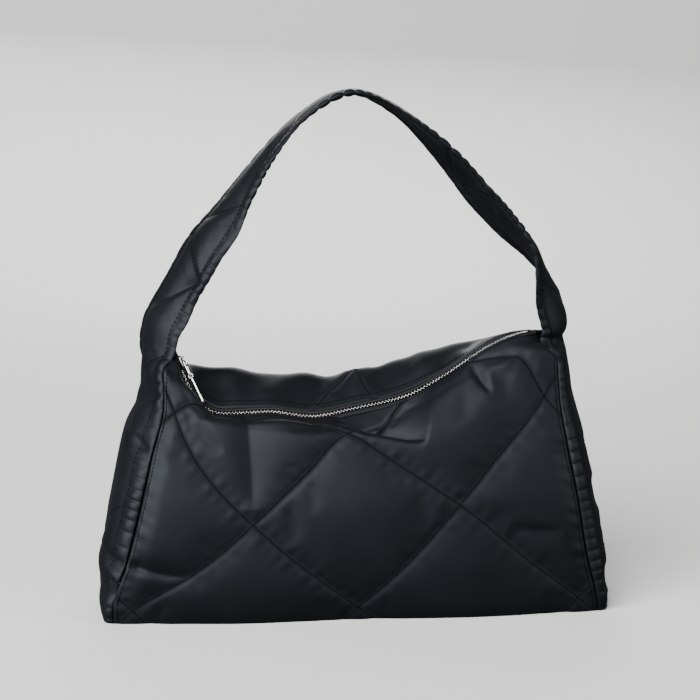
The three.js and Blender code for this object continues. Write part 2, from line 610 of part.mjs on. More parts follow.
// Flat tab of the pull, lying along x from its rolled eye.
function tabGeometry() {
  const ring = [
    new THREE.Vector2(EYE_INNER, -EYE_WIDTH / 2),
    new THREE.Vector2(EYE_OUTER, -EYE_WIDTH / 2),
    new THREE.Vector2(EYE_OUTER, EYE_WIDTH / 2),
    new THREE.Vector2(EYE_INNER, EYE_WIDTH / 2),
    new THREE.Vector2(EYE_INNER, -EYE_WIDTH / 2),
  ];
  const eye = solidOf(new THREE.LatheGeometry(ring, 14));
  const start = (EYE_INNER + EYE_OUTER) / 2;
  const length = TAB_LENGTH - start;
  const neck = roundedFrame(length, TAB_WIDTH * 0.72, 0.6);
  const grip = roundedFrame(TAB_END, TAB_WIDTH, 1.6);
  const blade = solidOf(plate(neck, TAB_THICK, -TAB_THICK / 2).translate(start, 0, 0));
  const end = solidOf(plate(grip, TAB_END_THICK, -TAB_END_THICK / 2).translate(TAB_LENGTH - TAB_END, 0, 0));
  return geometryOf(eye.add(blade).add(end));
}

const nylon = new THREE.MeshStandardMaterial({ color: 0x17181c, roughness: 0.5, metalness: 0 });
const webbing = new THREE.MeshStandardMaterial({ color: 0x0e0f12, roughness: 0.85, metalness: 0 });
const nickel = new THREE.MeshStandardMaterial({ color: 0xc4c6c8, roughness: 0.3, metalness: 1 });

function piece(name, geometry, material) {
  const mesh = new THREE.Mesh(geometry, material.clone());
  mesh.name = name;
  return mesh;
}

const bag = new THREE.Group();
bag.position.x = -MIDDLE_X;
bag.add(piece('quilted_body', panelGeometry, nylon));
bag.add(piece('shoulder_band', bandGeometry, nylon));
bag.add(piece('zip_tape_front', frontTape, webbing));
bag.add(piece('zip_tape_back', backTape, webbing));
bag.add(piece('zip_chain', chain, nickel));

// The slider closes the zip at its left end; the pull lies along the teeth.
const end = zipFrame(-1 + (2 * SLIDER_RUN) / zipLength);
const sliderGroup = new THREE.Group();
sliderGroup.position.copy(end.point);
const basis = new THREE.Matrix4().makeBasis(end.along, end.across, end.out);
sliderGroup.quaternion.setFromRotationMatrix(basis);
sliderGroup.add(piece('zip_slider', sliderGeometry(), nickel));

const pullGroup = new THREE.Group();
const barHeight = plateTop + LINK_WIRE / 2 + 0.5;
pullGroup.position.set(bridgeMiddle, 0, barHeight);
pullGroup.rotation.y = -THREE.MathUtils.degToRad(PULL_LIFT);
pullGroup.add(piece('pull_link', linkGeometry(), nickel));
const tab = piece('pull_tab', tabGeometry(), nickel);
tab.position.x = LINK_LENGTH;
pullGroup.add(tab);
sliderGroup.add(pullGroup);
bag.add(sliderGroup);

export default bag;
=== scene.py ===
# Quilted shoulder bag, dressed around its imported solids: metres, +Z up, front towards -Y.
import bpy
import numpy as np
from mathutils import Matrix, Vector


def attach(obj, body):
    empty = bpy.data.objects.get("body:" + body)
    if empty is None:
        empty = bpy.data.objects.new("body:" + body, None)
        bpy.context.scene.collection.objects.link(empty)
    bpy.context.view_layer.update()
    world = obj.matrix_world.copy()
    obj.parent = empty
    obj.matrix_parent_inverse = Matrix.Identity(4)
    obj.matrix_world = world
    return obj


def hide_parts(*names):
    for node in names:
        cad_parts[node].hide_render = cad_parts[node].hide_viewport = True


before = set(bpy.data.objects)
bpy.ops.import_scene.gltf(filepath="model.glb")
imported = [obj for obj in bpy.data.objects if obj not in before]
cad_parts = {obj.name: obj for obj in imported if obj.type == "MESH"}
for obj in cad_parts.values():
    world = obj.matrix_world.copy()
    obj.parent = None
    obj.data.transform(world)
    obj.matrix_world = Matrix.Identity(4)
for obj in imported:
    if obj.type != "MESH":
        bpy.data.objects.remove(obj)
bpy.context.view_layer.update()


# Camera: the bag stands at eye level of its strap, seen from the front, a little from its left and from
# about 1.3 m away, so that its base runs almost level across the picture.
camera = bpy.data.objects.new("camera", bpy.data.cameras.new("camera"))
bpy.context.scene.collection.objects.link(camera)
camera.location = (-0.1133, -1.2773, 0.4066)
looks_at = Vector((-0.0016, 0.0, 0.192))
camera.rotation_euler = (looks_at - camera.location).to_track_quat("-Z", "Y").to_euler()
camera.data.sensor_width = 36.0
camera.data.lens = 89.5
bpy.context.scene.camera = camera


# Quilted body: black nylon, wadding and lining stitched together in large diamonds and folded under as
# front, base and back. Its top edges are turned in and sewn along the zip, its sides to the band.
MM = 0.001
MIDDLE_X = 1.6  # the middle of the bag's width in the tables, which are in millimetres
SEAM_WALL = 3.0  # padded cloth where it is stitched down flat
CELLS_ACROSS = 26  # the quilting's cells, six from one crossing of its lines to the next
CELLS_ALONG = 42
DIAMOND = 6
CROSSING = (13, 4)  # column and row of a crossing: the panel's middle, just below the zip
FRONT_FOOT = 17  # rows where the front and the back turn under
BACK_FOOT = 25
PATTERN_LEAN = 1.15  # rows by which the pattern on the front climbs to the right
CORNER_TUCK = (0.46, 0.54)  # shares of the way from the zip to the seam, backwards and upwards
FRONT_TUCK = (-0.2, 0.3)  # the same along the width, at the left and at the right end
BACK_TUCK = (0.4, 0.3)
BACK_REACH = 6.0  # how far the back top edge runs on past the left end of the zip
BOW_POWER = (7, 2)  # square-shouldered bow at the gussets' feet, a round one at the strap
ZIP_EDGE = 3.3  # from the middle of the zip to the turned edges of the cloth, which lie on the tapes
SLIDER_EDGE = 5.4  # the same beside the slider, where they are pushed apart
SLIDER_STRETCH = (44.0, 62.0)  # lengths from the zip's left end between which they close
EDGE_RISE = 1.3  # of those edges over the middle of the zip
FRONT_TILT = 38.0  # degrees by which the zip's face leans to the front
FINE = 4  # steps of the simulated cloth in a cell
LINE_STEP = 8.7  # across a quilting line for each cell from it
SHOULDER = 1.4  # height of the wadding close to its stitches, and how soon it rises there
SHOULDER_REACH = 2.5
GROOVE = 2.2  # how far from a line the cloth is crushed dull by its stitches
DOME = 2.9  # height that the middle of a diamond adds
PUCKER = 0.28  # height of the small gathers along the stitched lines
SEAM_PUCKER = 1.6  # how much stronger they are along the side seams
SEAM_STEP = 11.5  # run along a side seam for each row
HALF_WIDTH = 160.0  # about, of the panel, and a row's length, for distances from its edges
ROW_LENGTH = 9.0
FLAT_WIDTH = 330.0  # of the panel's cloth map
RIM = (39.8, 1.3)  # middle and spread, in rows, of the back top edge's wrinkles and of its lumps
RIM_LUMPS = (40.9, 0.7)


def table(text):
    """Columns of a table as arrays, by the names in its first line."""
    names, *rows = (line.split() for line in text.strip().splitlines())
    return dict(zip(names, np.array(rows, float).T))


# Middle of the zip from the left strap to the right one, the front lip below it and the back rim behind it.
TOP = table("""
x y z lip_y lip_z rim_y rim_z
-131 -5 197 -26 184 25 184
-128.5 -9 190 -27 177 19 182
-123 -14 175 -30 167 16 180
-113 -19 157 -34 150 13 176
-96 -22 150 -37 148 13 173
-62 -23 151 -38 146 14 169
-30 -23 147 -37 142 14 169
2 -21 152 -36 145 14 175
40 -18 160 -32 152 14 182
66 -16 173 -29 166 12 191
103 -13 196 -26 188 9 200
117 -12 202 -25 193 9 204
130 -11 205 -25 193 15 201
136 -9 205.5 -26 188 25 192
""")

# Panel below the top edges: half its width at each row, how far that row has slid to the right and its
# left half is pulled to the left, and where its middle and its side seams run.
WALLS = table("""
row half slid pull mid_y mid_z side_y side_z
2 144.5 6.5 12 0 0 0 0
4 145 7 25 -44 138 -34 160
7 152 5 15 -53 110 -44 123
10 160 4 9 -59 79 -51 85
13 168 2 4 -61 44 -54 47
16 178 1 0 -57 11 -52 12
17 179 2 0 -51 0 -48 0
25 179 2 0 51 0 48 0
26 178 1 0 57 11 52 12
29 168 2 0 61 44 54 47
32 160 4 0 60 81 51 85
35 154 4 0 53 116 44 123
38 153 3 0 37 150 33 160
40 157 4 0 0 0 0 0
""")

# How far each gusset bows outwards, by the panel's row at its front seam; the last row is the base.
GUSSET = table("""
row left right
2 7 6
4 12 11
7 21 17
13 20 18
16 11 12
17 9 10
""")

# Folds in the front: the start, middle and end of the curve each follows, how far its flanks reach to the
# left and to the right of that way, its height (below 0: a dent), its crease, from 2, a roll, to 1, how far
# the bottom of a dent is tucked under the cloth on its right, as a share of its depth, and how much its reach
# shrinks towards its end.
FOLDS = table("""
x0 z0 xm zm x1 z1 left right height crease tuck taper
-80 180 -77 130 -75 86 20 14 -5.5 1.25 0 0.4
-116 147 -106 134 -92 125 8 6 -1.7 1.5 0 0.2
-72 118 -56 116 -40 116.5 3 7 -1 1.5 0 0
-24 151 14 143 52 133 17 3 -12 1.15 0.4 0
88 184 93 174 101 163 7 2.5 -2.6 1.4 0 0.5
108 182 110 170 114 156 9 7 -1.8 2 0 0
112 69 130 66 152 64.5 3.5 9 -2 1.5 0 0
-168 49 -147 41 -121 36 8 5 -3.6 1.4 0.2 0.3
-150 150 -144 143 -132 140 6 5 -1.5 1.6 0 0
""")


def unit(v):
    """Vectors at length 1."""
    return v / np.maximum(np.linalg.norm(v, axis=-1, keepdims=True), 1e-12)


def run_along(points):
    """Length along a row of points, from 0 at its first one."""
    return np.concatenate([[0], np.cumsum(np.linalg.norm(np.diff(points, axis=0), axis=1))])


def stretched(values, count):
    """So many values at even steps along a row of values."""
    return np.interp(np.linspace(0, 1, count), np.linspace(0, 1, len(values)), values)


def eased(distance, reach, start=0.0):
    """Rises from start to 1 in proportion to the distance, by 1 over the reach, and stays there."""
    return np.clip(start + distance / reach, 0, 1)


def smooth_curve(at, values, t, limited=True):
    """Cubic pieces through values[k] at the stations at[k]. A station's slope is the harmonic mean of the
    slopes beside it, or 0 where they turn, so that no piece overshoots; if not limited, it is their mean
    weighted by the lengths. values is (stations, lanes, n), t is (lanes, m), the result (lanes, m, n)."""
    at = np.asarray(at, float)
    step = np.diff(at)[:, None, None]
    slope = np.diff(values, axis=0) / step
    before, after = slope[:-1], slope[1:]
    near, far = step[:-1], step[1:]
    first, second = 2 * far + near, far + 2 * near
    if limited:
        turns = before * after <= 0
        safe_before = np.where(turns, 1.0, before)
        safe_after = np.where(turns, 1.0, after)
        inner = np.where(turns, 0.0, (first + second) / (first / safe_before + second / safe_after))
    else:
        inner = (before * far + after * near) / (near + far)
    tangent = np.concatenate([slope[:1], inner, slope[-1:]])
    i = np.clip(np.searchsorted(at, t, side="right") - 1, 0, len(at) - 2)
    lane = np.arange(values.shape[1])[:, None]
    h = np.diff(at)[i][..., None]
    s = (t - at[i])[..., None] / h
    rise = values[i + 1, lane] - values[i, lane]
    bend = h * (tangent[i, lane] * (1 - s) - tangent[i + 1, lane] * s)
    return values[i, lane] + rise * s * s * (3 - 2 * s) + bend * s * (1 - s)


top_rows = np.stack([TOP[name] for name in TOP], 1)
zip_run = run_along(top_rows[:, :3])
zip_length = zip_run[-1]
zip_u = 2 * zip_run / zip_length - 1


def top_edges(u):
    """Columns of the top's table at u, which runs from -1 at the left strap to 1 by length along the zip."""
    return smooth_curve(zip_u, top_rows[:, None, :], u[None, :])[0]


def zip_frame(u):
    """Middle of the zip at u, with the directions along it, across it to the back and out of its face: the
    face leans to the front by the tilt, which fades to nothing at both ends."""
    spot = top_edges(u)[:, :3]
    along = unit(top_edges(np.minimum(u + 0.01, 1))[:, :3] - top_edges(np.maximum(u - 0.01, -1))[:, :3])
    tilt = np.radians(FRONT_TILT) * (1 - u ** 4)[:, None]
    rise = unit(np.stack([-along[:, 2], 0 * u, along[:, 0]], 1))
    lean = rise * np.cos(tilt) - np.array([0, 1, 0]) * np.sin(tilt)
    across = unit(np.cross(lean, along))
    return spot, along, across, unit(np.cross(along, across))


def panel_points(u, row):
    """Panel before its quilting. u runs across it from the left seam to the right one; row runs from the
    front zip edge down the front, under the base and up the back. Each u has its own knots: the zip's
    edges, a tucked corner and the levels of the walls' table, and the point is a smooth curve through
    them at the row, which leans so that the pattern climbs to the right."""
    spot, _, across, out = zip_frame(u)
    edges = top_edges(u)
    run = (u + 1) / 2 * zip_length
    apart = np.interp(run, SLIDER_STRETCH, (SLIDER_EDGE, ZIP_EDGE))[:, None]
    front = spot - across * apart + out * EDGE_RISE
    back = spot + across * apart + out * EDGE_RISE
    back[:, 0] -= np.where(u < 0, u ** 24, 0) * BACK_REACH
    side = np.abs(u) ** 2.2
    column = {name: values[:, None] for name, values in WALLS.items()}
    x = column["slid"] + column["half"] * u - column["pull"] * (1 - u * u) * (1 - u) / 2
    y = column["mid_y"] * (1 - side) + column["side_y"] * side
    z = column["mid_z"] * (1 - side) + column["side_z"] * side
    y[0], z[0], y[-1], z[-1] = edges[:, 3], edges[:, 4], edges[:, 5], edges[:, 6]
    levels = np.stack([x, y, z], -1)
    inward = [np.interp(u, (-1, 1), ends) for ends in (FRONT_TUCK, BACK_TUCK)]
    share = [np.stack([x, 0 * u + CORNER_TUCK[0], 0 * u + CORNER_TUCK[1]], 1) for x in inward]
    first = front + (levels[0] - front) * share[0]
    final = back + (levels[-1] - back) * share[1]
    knots = np.concatenate([front[None], first[None], levels, final[None], back[None]])
    at = np.concatenate([[0, 1], WALLS["row"], [CELLS_ALONG - 1, CELLS_ALONG]])
    leaning = np.where(row < FRONT_FOOT, np.sin(np.pi * row / FRONT_FOOT), 0)
    t = row[None, :] - PATTERN_LEAN * (u * (1 - np.abs(u) ** 6))[:, None] * leaning
    points = smooth_curve(at, knots, t)
    w = np.clip(2 * (row - FRONT_FOOT) / (BACK_FOOT - FRONT_FOOT) - 1, -1, 1)
    bow = np.where(u < 0, GUSSET["left"][-1], GUSSET["right"][-1])
    points[..., 0] += (np.sign(u) * u * u * bow)[:, None] * (1 - np.abs(w) ** BOW_POWER[0]) - MIDDLE_X
    return points


def grid_normals(grid):
    """Outward directions of a grid: the way along it crossed with the way across it."""
    return unit(np.cross(np.gradient(grid, axis=1), np.gradient(grid, axis=0)))


def fold_heights(points, folds):
    """Height of the strongest fold at each point, and its tuck along x and z. A fold is a parabola through
    three points; its height falls off with the distance from it, as exp(-(distance / reach) ** crease), with
    a reach of its own to either side, and towards both of its ends, as 1 - |2 t - 1| ** 3."""
    total = np.zeros(points.shape[:-1] + (3,))
    place = points[..., [0, 2]] + np.array([MIDDLE_X, 0])
    t = np.linspace(0, 1, 25)
    for row in np.stack(list(folds.values()), 1):
        first, middle, last = row[:6].reshape(3, 2)
        bent = 2 * middle - (first + last) / 2
        curve = np.outer((1 - t) ** 2, first) + np.outer(2 * t * (1 - t), bent) + np.outer(t * t, last)
        ahead = unit(np.gradient(curve, axis=0))
        away = place[..., None, :] - curve
        nearest = np.argmin((away ** 2).sum(-1), -1)
        away = np.take_along_axis(away, nearest[..., None, None], -2)[..., 0, :]
        ahead = ahead[nearest]
        leftward = ahead[..., 0] * away[..., 1] - ahead[..., 1] * away[..., 0]
        along = (away * ahead).sum(-1)
        step = np.linalg.norm(np.diff(curve, axis=0), axis=1).mean()
        beyond = np.maximum(np.abs(along) - step / 2, 0)
        reach = row[7] + (row[6] - row[7]) / (1 + np.exp(-2 * leftward))
        share = np.clip(t[nearest] + along / step * (t[1] - t[0]), 0, 1)
        reach = reach * (1 - row[11] * share)
        fall = np.exp(-((np.hypot(leftward, beyond) / reach) ** row[9]))
        height = row[8] * fall * (1 - np.abs(2 * share - 1) ** 3)
        tuck = -row[10] * height
        fold = np.stack([height, tuck * ahead[..., 1], -tuck * ahead[..., 0]], -1)
        total = np.where(np.abs(height[..., None]) > np.abs(total[..., :1]), fold, total)
    return total


def line_gaps(column, row):
    """For the quilting lines of each way: the distance from each place to the nearest one, which side of it
    the place is on, the number of that line and the run along it, all lengths in millimetres."""
    ways = []
    for way in (1, -1):
        turns = (column - CROSSING[0] + way * (row - CROSSING[1])) / (2 * DIAMOND)
        number = np.round(turns)
        gap = (turns - number) * 2 * DIAMOND * LINE_STEP
        ways.append((np.abs(gap), np.sign(gap), number, (column - way * row) * LINE_STEP))
    return ways


def pillow(first, second):
    """Height of the wadding at its distances from the lines of both ways: a shoulder that rises steeply
    from the stitching, as 1 - exp(-distance / reach), and a dome of sines over the whole diamond."""
    span = 2 * DIAMOND * LINE_STEP
    shoulder = (1 - np.exp(-first / SHOULDER_REACH)) * (1 - np.exp(-second / SHOULDER_REACH))
    dome = np.sin(np.pi * first / span) * np.sin(np.pi * second / span)
    return SHOULDER * shoulder + DOME * dome


def puckers(distance, side, number, run):
    """Small gathers beside a stitched line: three waves along it that drift against each other and differ
    from side to side and from line to line, strongest 3 mm from the stitches and gone after 15."""
    phase = 2.1 * side + 1.7 * number
    wave = np.sin(run / 1.5 + phase) + np.sin(run / 2.3 - 2 * phase) + np.sin(run / 4.1 + 3 * phase)
    return wave / 2 * distance / 3 * np.exp(1 - distance / 3)


def swell(points, faces, sewn, pressure, spare, bend, frames, most):
    """Runs the cloth solver on a copy of the cloth, held where it is sewn, with air behind it and with a
    share of spare cloth, and returns the points, none moved further than most."""
    mesh = bpy.data.meshes.new("trial")
    mesh.from_pydata(points, [], faces)
    trial = bpy.data.objects.new("trial", mesh)
    bpy.context.scene.collection.objects.link(trial)
    group = trial.vertex_groups.new(name="sewn")
    group.add(np.flatnonzero(sewn).tolist(), 1.0, "REPLACE")
    cloth = trial.modifiers.new("cloth", "CLOTH")
    settings = dict(quality=5, mass=0.1, tension_stiffness=15, compression_stiffness=15, shear_stiffness=5,
                    bending_stiffness=bend, vertex_group_mass="sewn", use_pressure=True,
                    uniform_pressure_force=pressure, shrink_min=-spare)
    for name, value in settings.items():
        setattr(cloth.settings, name, value)
    cloth.settings.effector_weights.gravity = 0
    cloth.collision_settings.use_collision = False
    cloth.point_cache.frame_start = 1
    cloth.point_cache.frame_end = frames
    for number in range(1, frames + 1):
        bpy.context.scene.frame_set(number)
    swollen = trial.evaluated_get(bpy.context.evaluated_depsgraph_get()).data
    moved = np.empty(3 * len(points))
    swollen.vertices.foreach_get("co", moved)
    bpy.data.objects.remove(trial)
    bpy.data.meshes.remove(mesh)
    bpy.context.scene.frame_set(1)
    move = moved.reshape(-1, 3) - points
    length = np.maximum(np.linalg.norm(move, axis=1, keepdims=True), 1e-9)
    return points + move * np.minimum(1, most / length)


def grid_faces(wide, long, start=0, closed=False):
    """Quads of a grid of wide by long cells whose points run along first, turned to face outwards. If it is
    closed, a tube, its last lane is joined to its first."""
    i, j = np.meshgrid(np.arange(wide), np.arange(long), indexing="ij")
    after = (i + 1) % wide if closed else i + 1
    a, b = start + i * (long + 1) + j, start + after * (long + 1) + j
    return np.stack([a, a + 1, b + 1, b], -1).reshape(-1, 4)


def refine(grid):
    """Twice the cells both ways: each new point is the mean of its two neighbours, and each old one is
    eased to one eighth, six eighths and one eighth of itself and its neighbours. The borders stay."""
    for axis in (0, 1):
        old = np.moveaxis(grid, axis, 0)
        new = np.empty((2 * len(old) - 1,) + old.shape[1:])
        new[1::2] = (old[1:] + old[:-1]) / 2
        new[::2] = old
        new[2:-1:2] = (old[:-2] + 6 * old[1:-1] + old[2:]) / 8
        grid = np.moveaxis(new, 0, axis)
    return grid


def place_mesh(name, points, faces, uv=None):
    """New object at the origin with its place in its mesh: points in metres, faces as rows of indices,
    and a cloth map in metres if it is given."""
    mesh = bpy.data.meshes.new(name)
    mesh.from_pydata(points, [], faces)
    mesh.shade_smooth()
    if uv is not None:
        layer = mesh.uv_layers.new(name="cloth")
        corner = np.empty(len(mesh.loops), np.int32)
        mesh.loops.foreach_get("vertex_index", corner)
        layer.data.foreach_set("uv", uv[corner].astype(np.float32).ravel())
    piece = bpy.data.objects.new(name, mesh)
    bpy.context.scene.collection.objects.link(piece)
    return piece


def panel_grid(fine):
    """Panel, its columns, rows, distances from its side seams and from the zip, and its quilting lines, with
    so many steps in a cell."""
    u = np.linspace(-1, 1, CELLS_ACROSS * fine + 1)
    row = np.linspace(0, CELLS_ALONG, CELLS_ALONG * fine + 1)
    column = (u + 1) * CELLS_ACROSS / 2
    seam = np.minimum(1 + u, 1 - u)[:, None] * HALF_WIDTH + 0 * row
    zipped = np.minimum(row, CELLS_ALONG - row)[None, :] * ROW_LENGTH + 0 * seam
    return panel_points(u, row), column, row, seam, zipped, line_gaps(column[:, None], row[None, :])


panel, _, _, from_seam, from_zip, lines = panel_grid(FINE)
panel_out = grid_normals(panel)
held = eased(from_seam, 14) ** 0.6 * eased(from_zip, 22, 0.15)
puff = pillow(lines[0][0], lines[1][0]) * held
sewn = (np.minimum(lines[0][0], lines[1][0]) < 1) | (from_seam < 1) | (from_zip < 1)
start = panel + panel_out * puff[..., None]
across_cells, along_cells = CELLS_ACROSS * FINE, CELLS_ALONG * FINE
cloth_grid = swell(start.reshape(-1, 3) * MM, grid_faces(across_cells, along_cells), sewn.ravel(),
                   pressure=2.6, spare=0.002, bend=10.0, frames=20, most=6 * MM)
cloth_grid = cloth_grid.reshape(start.shape) / MM
cloth_grid = start + (cloth_grid - start) * eased(from_zip, 30, 0.2)[..., None]


def rim_wrinkles(x, row):
    """Wrinkles along the back top edge: a long and a short wave along x, both with a wandering spacing, and
    lumps of two more waves. Each fades from its middle row as exp(-((row - middle) / spread) ** 2)."""
    waves = np.sin(x / 8.2 + 0.6 + 1.3 * np.sin(x / 29))
    waves = waves + 0.9 * np.sin(x / 4.7 + 2.0 - np.sin(x / 17)) * (0.6 + 0.4 * np.sin(x / 21 + 1))
    lumps = 0.7 * (np.sin(x / 5.3 + 1.4 * np.sin(x / 13)) + np.sin(x / 9.1 + row * 1.9))
    near = [np.exp(-((row - middle) / spread) ** 2) for middle, spread in (RIM, RIM_LUMPS)]
    return waves * near[0] + lumps * near[1]


body_grid = refine(cloth_grid)
fine_panel, fine_column, fine_row, fine_seam, fine_zip, fine_lines = panel_grid(2 * FINE)
nearest = np.minimum(fine_lines[0][0], fine_lines[1][0])
on_front = (fine_row < FRONT_FOOT - 1)[None, :]
folds = fold_heights(fine_panel, FOLDS)
held = on_front * eased(fine_seam, 8) * eased(fine_zip, 12) * eased(nearest, 16, 0.75)
folds *= held[..., None]
gathers = sum(puckers(*way) for way in fine_lines)
gathers += SEAM_PUCKER * puckers(fine_seam, np.sign(fine_column - CROSSING[0])[:, None], 0.5,
                                 fine_row[None, :] * SEAM_STEP)
relief = folds[..., 0] + PUCKER * gathers * eased(fine_seam, 2) * eased(fine_zip, 6)
relief += rim_wrinkles(fine_panel[..., 0], fine_row[None, :]) * eased(fine_seam, 30)
body_grid = body_grid + grid_normals(fine_panel) * relief[..., None]
body_grid[..., ::2] += folds[..., 1:]
body_grid[..., 2] = np.maximum(body_grid[..., 2], 0)
resting = (fine_row >= FRONT_FOOT) & (fine_row <= BACK_FOOT)
body_grid[:, resting, 2] = np.maximum(0, 0.25 * body_grid[:, resting, 2])


def closed_wall(outer, inner, first_way):
    """Points and faces of a padded wall: the fine outer grid, split along the way of the nearest quilting
    line, the inner grid with a quarter of its steps, and a rim of triangles that joins four outer steps to
    one inner step all the way round."""
    wide, long = outer.shape[0] - 1, outer.shape[1] - 1
    inner_wide, inner_long = inner.shape[0] - 1, inner.shape[1] - 1
    count = (wide + 1) * (long + 1)
    points = np.concatenate([outer.reshape(-1, 3), inner.reshape(-1, 3)])

    def border(w, n, first):
        """Indices round a grid's border, starting and ending at its first corner."""
        index = first + np.arange((w + 1) * (n + 1)).reshape(w + 1, n + 1)
        return np.concatenate([index[:-1, 0], index[-1, :-1], index[:0:-1, -1], index[0, ::-1]])

    fine, coarse = border(wide, long, 0), border(inner_wide, inner_long, count)
    near, far = coarse[:-1], coarse[1:]
    rim = [np.stack([fine[k:-1:4], fine[k + 1::4], near if k < 2 else far], 1) for k in range(4)]
    rim.append(np.stack([fine[2::4], far, near], 1))
    quads = grid_faces(wide, long)
    turned = first_way[:-1, :-1].ravel()
    a, c, d, b = quads.T
    halves = np.where(turned[:, None, None], np.stack([np.stack([a, c, b], 1), np.stack([b, c, d], 1)], 1),
                      np.stack([np.stack([a, c, d], 1), np.stack([a, d, b], 1)], 1))
    faces = np.concatenate([halves.reshape(-1, 3), *rim]).tolist()
    faces += grid_faces(inner_wide, inner_long, count)[:, ::-1].tolist()
    return points, faces


inner_grid = panel[::2, ::2] + panel_out[::2, ::2] * (folds[::4, ::4, :1] - SEAM_WALL)
inner_grid[..., ::2] += folds[::4, ::4, 1:]
inner_grid[..., 2] = np.maximum(inner_grid[..., 2], SEAM_WALL)
body_points, body_faces = closed_wall(body_grid, inner_grid, fine_lines[0][0] < fine_lines[1][0])
row_run = run_along(panel[across_cells // 2])


def cloth_map(shape, wide, long):
    """Flat place of each point of a grid in metres, from its width and its runs along."""
    across = np.linspace(0, wide, shape[0])
    along = stretched(long, shape[1])
    return np.stack(np.meshgrid(across, along, indexing="ij"), -1).reshape(-1, 2) * MM


body_map = np.concatenate([cloth_map(grid.shape, FLAT_WIDTH, row_run) for grid in (body_grid, inner_grid)])
body = place_mesh("quilted_body_cloth", body_points * MM, body_faces, body_map)
groove = np.zeros(len(body_points), np.float32)
groove[:nearest.size] = np.exp(-(nearest.ravel() / GROOVE) ** 2)
body.data.attributes.new("groove", "FLOAT", "POINT").data.foreach_set("value", groove)


class Tone:
    """A shader socket in an expression: sums and products of it add their Math nodes."""

    def __init__(self, tree, socket=None):
        self.tree, self.socket = tree, socket

    def node(self, kind, settings=None, inputs=None, out=0):
        """Adds a node: its settings first (stops are a ramp's places and colours), then the values or
        links of its sockets. Returns one of its outputs."""
        made = self.tree.nodes.new("ShaderNode" + kind)
        for name, value in (settings or {}).items():
            if name == "stops":
                ramp = made.color_ramp.elements
                while len(ramp) < len(value):
                    ramp.new(0.5)
                for element, (place, colour) in zip(ramp, value):
                    element.position, element.color = place, colour
            else:
                setattr(made, name, value)
        for key, value in (inputs or {}).items():
            if isinstance(value, Tone):
                self.tree.links.new(value.socket, made.inputs[key])
            else:
                made.inputs[key].default_value = value
        return Tone(self.tree, made.outputs[out] if len(made.outputs) else None)

    def math(self, operation, *values):
        return self.node("Math", {"operation": operation}, dict(enumerate(values)))

    def __add__(self, other):
        return self.math("ADD", self, other)

    def __sub__(self, other):
        return self.math("SUBTRACT", self, other)

    def __rsub__(self, other):
        return self.math("SUBTRACT", other, self)

    def __mul__(self, other):
        return self.math("MULTIPLY", self, other)

    __radd__ = __add__
    __rmul__ = __mul__


def new_finish(name):
    """Empty material with its tree, and the shader that its looks go into."""
    material = bpy.data.materials.new(name)
    material.use_nodes = True
    material.node_tree.nodes.clear()
    tree = Tone(material.node_tree)
    shader = tree.node("BsdfPrincipled")
    tree.node("OutputMaterial", inputs={"Surface": shader})
    return material, tree, shader.socket.node


def feed(tree, shader, **inputs):
    """Sets or links the shader's sockets by their names, with _ for a blank."""
    for name, value in inputs.items():
        socket = shader.inputs[name.replace("_", " ")]
        if isinstance(value, Tone):
            tree.tree.links.new(value.socket, socket)
        else:
            socket.default_value = value


def nylon_finish():
    """Close-woven black nylon with a soft sheen: a blue-black that clouds a little, fine threads both ways
    and small creases where the wadding has been crushed."""
    material, tree, shader = new_finish("quilted_nylon")
    place = tree.node("TexCoord", out="Object")
    flat = tree.node("UVMap", {"uv_map": "cloth"})
    cloud = tree.node("TexNoise", inputs={"Vector": place, "Scale": 22.0, "Detail": 3.0})
    groove = tree.node("Attribute", {"attribute_name": "groove"}, out="Fac")
    colour = tree.node("ValToRGB", {"stops": [
        (0.3, (0.0034, 0.0038, 0.005, 1)), (0.7, (0.0052, 0.0058, 0.0074, 1))]}, {"Fac": cloud})
    across = tree.node("TexWave", {"bands_direction": "X"}, {"Vector": flat, "Scale": 480.0})
    along = tree.node("TexWave", {"bands_direction": "Y"}, {"Vector": flat, "Scale": 480.0})
    crush = tree.node("TexNoise", inputs={"Vector": place, "Scale": 130.0, "Detail": 4.0, "Distortion": 0.6})
    height = across * along * 0.06 + crush * 0.3
    bump = tree.node("Bump", inputs={"Strength": 0.12, "Distance": 0.0012, "Height": height})
    feed(tree, shader, Base_Color=colour, Roughness=cloud * 0.08 + groove * 0.4 + 0.5, Normal=bump,
         Sheen_Weight=0.02, Sheen_Roughness=0.4, Specular_IOR_Level=0.22, Specular_Tint=(0.82, 0.89, 1.0, 1))
    return material


nylon = nylon_finish()
body.data.materials.append(nylon)
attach(body, "bag")
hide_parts("quilted_body")


# Quilting stitches: black thread sewn through nylon, wadding and lining along the diamonds' lines, the top
# edges and the side seams. Every stitch is a short rod of thread, half sunk into the cloth.
STITCH_PITCH = 3.0
STITCH_HALF = (1.2, 0.5, 0.34)  # half its length, width and height


def on_grid(grid, i, j):
    """Values of a grid between its points, mixed from the four around each place."""
    a = np.clip(np.floor(i).astype(int), 0, grid.shape[0] - 2)
    b = np.clip(np.floor(j).astype(int), 0, grid.shape[1] - 2)
    s, t = (i - a)[:, None], (j - b)[:, None]
    near = grid[a, b] * (1 - s) + grid[a + 1, b] * s
    far = grid[a, b + 1] * (1 - s) + grid[a + 1, b + 1] * s
    return near * (1 - t) + far * t


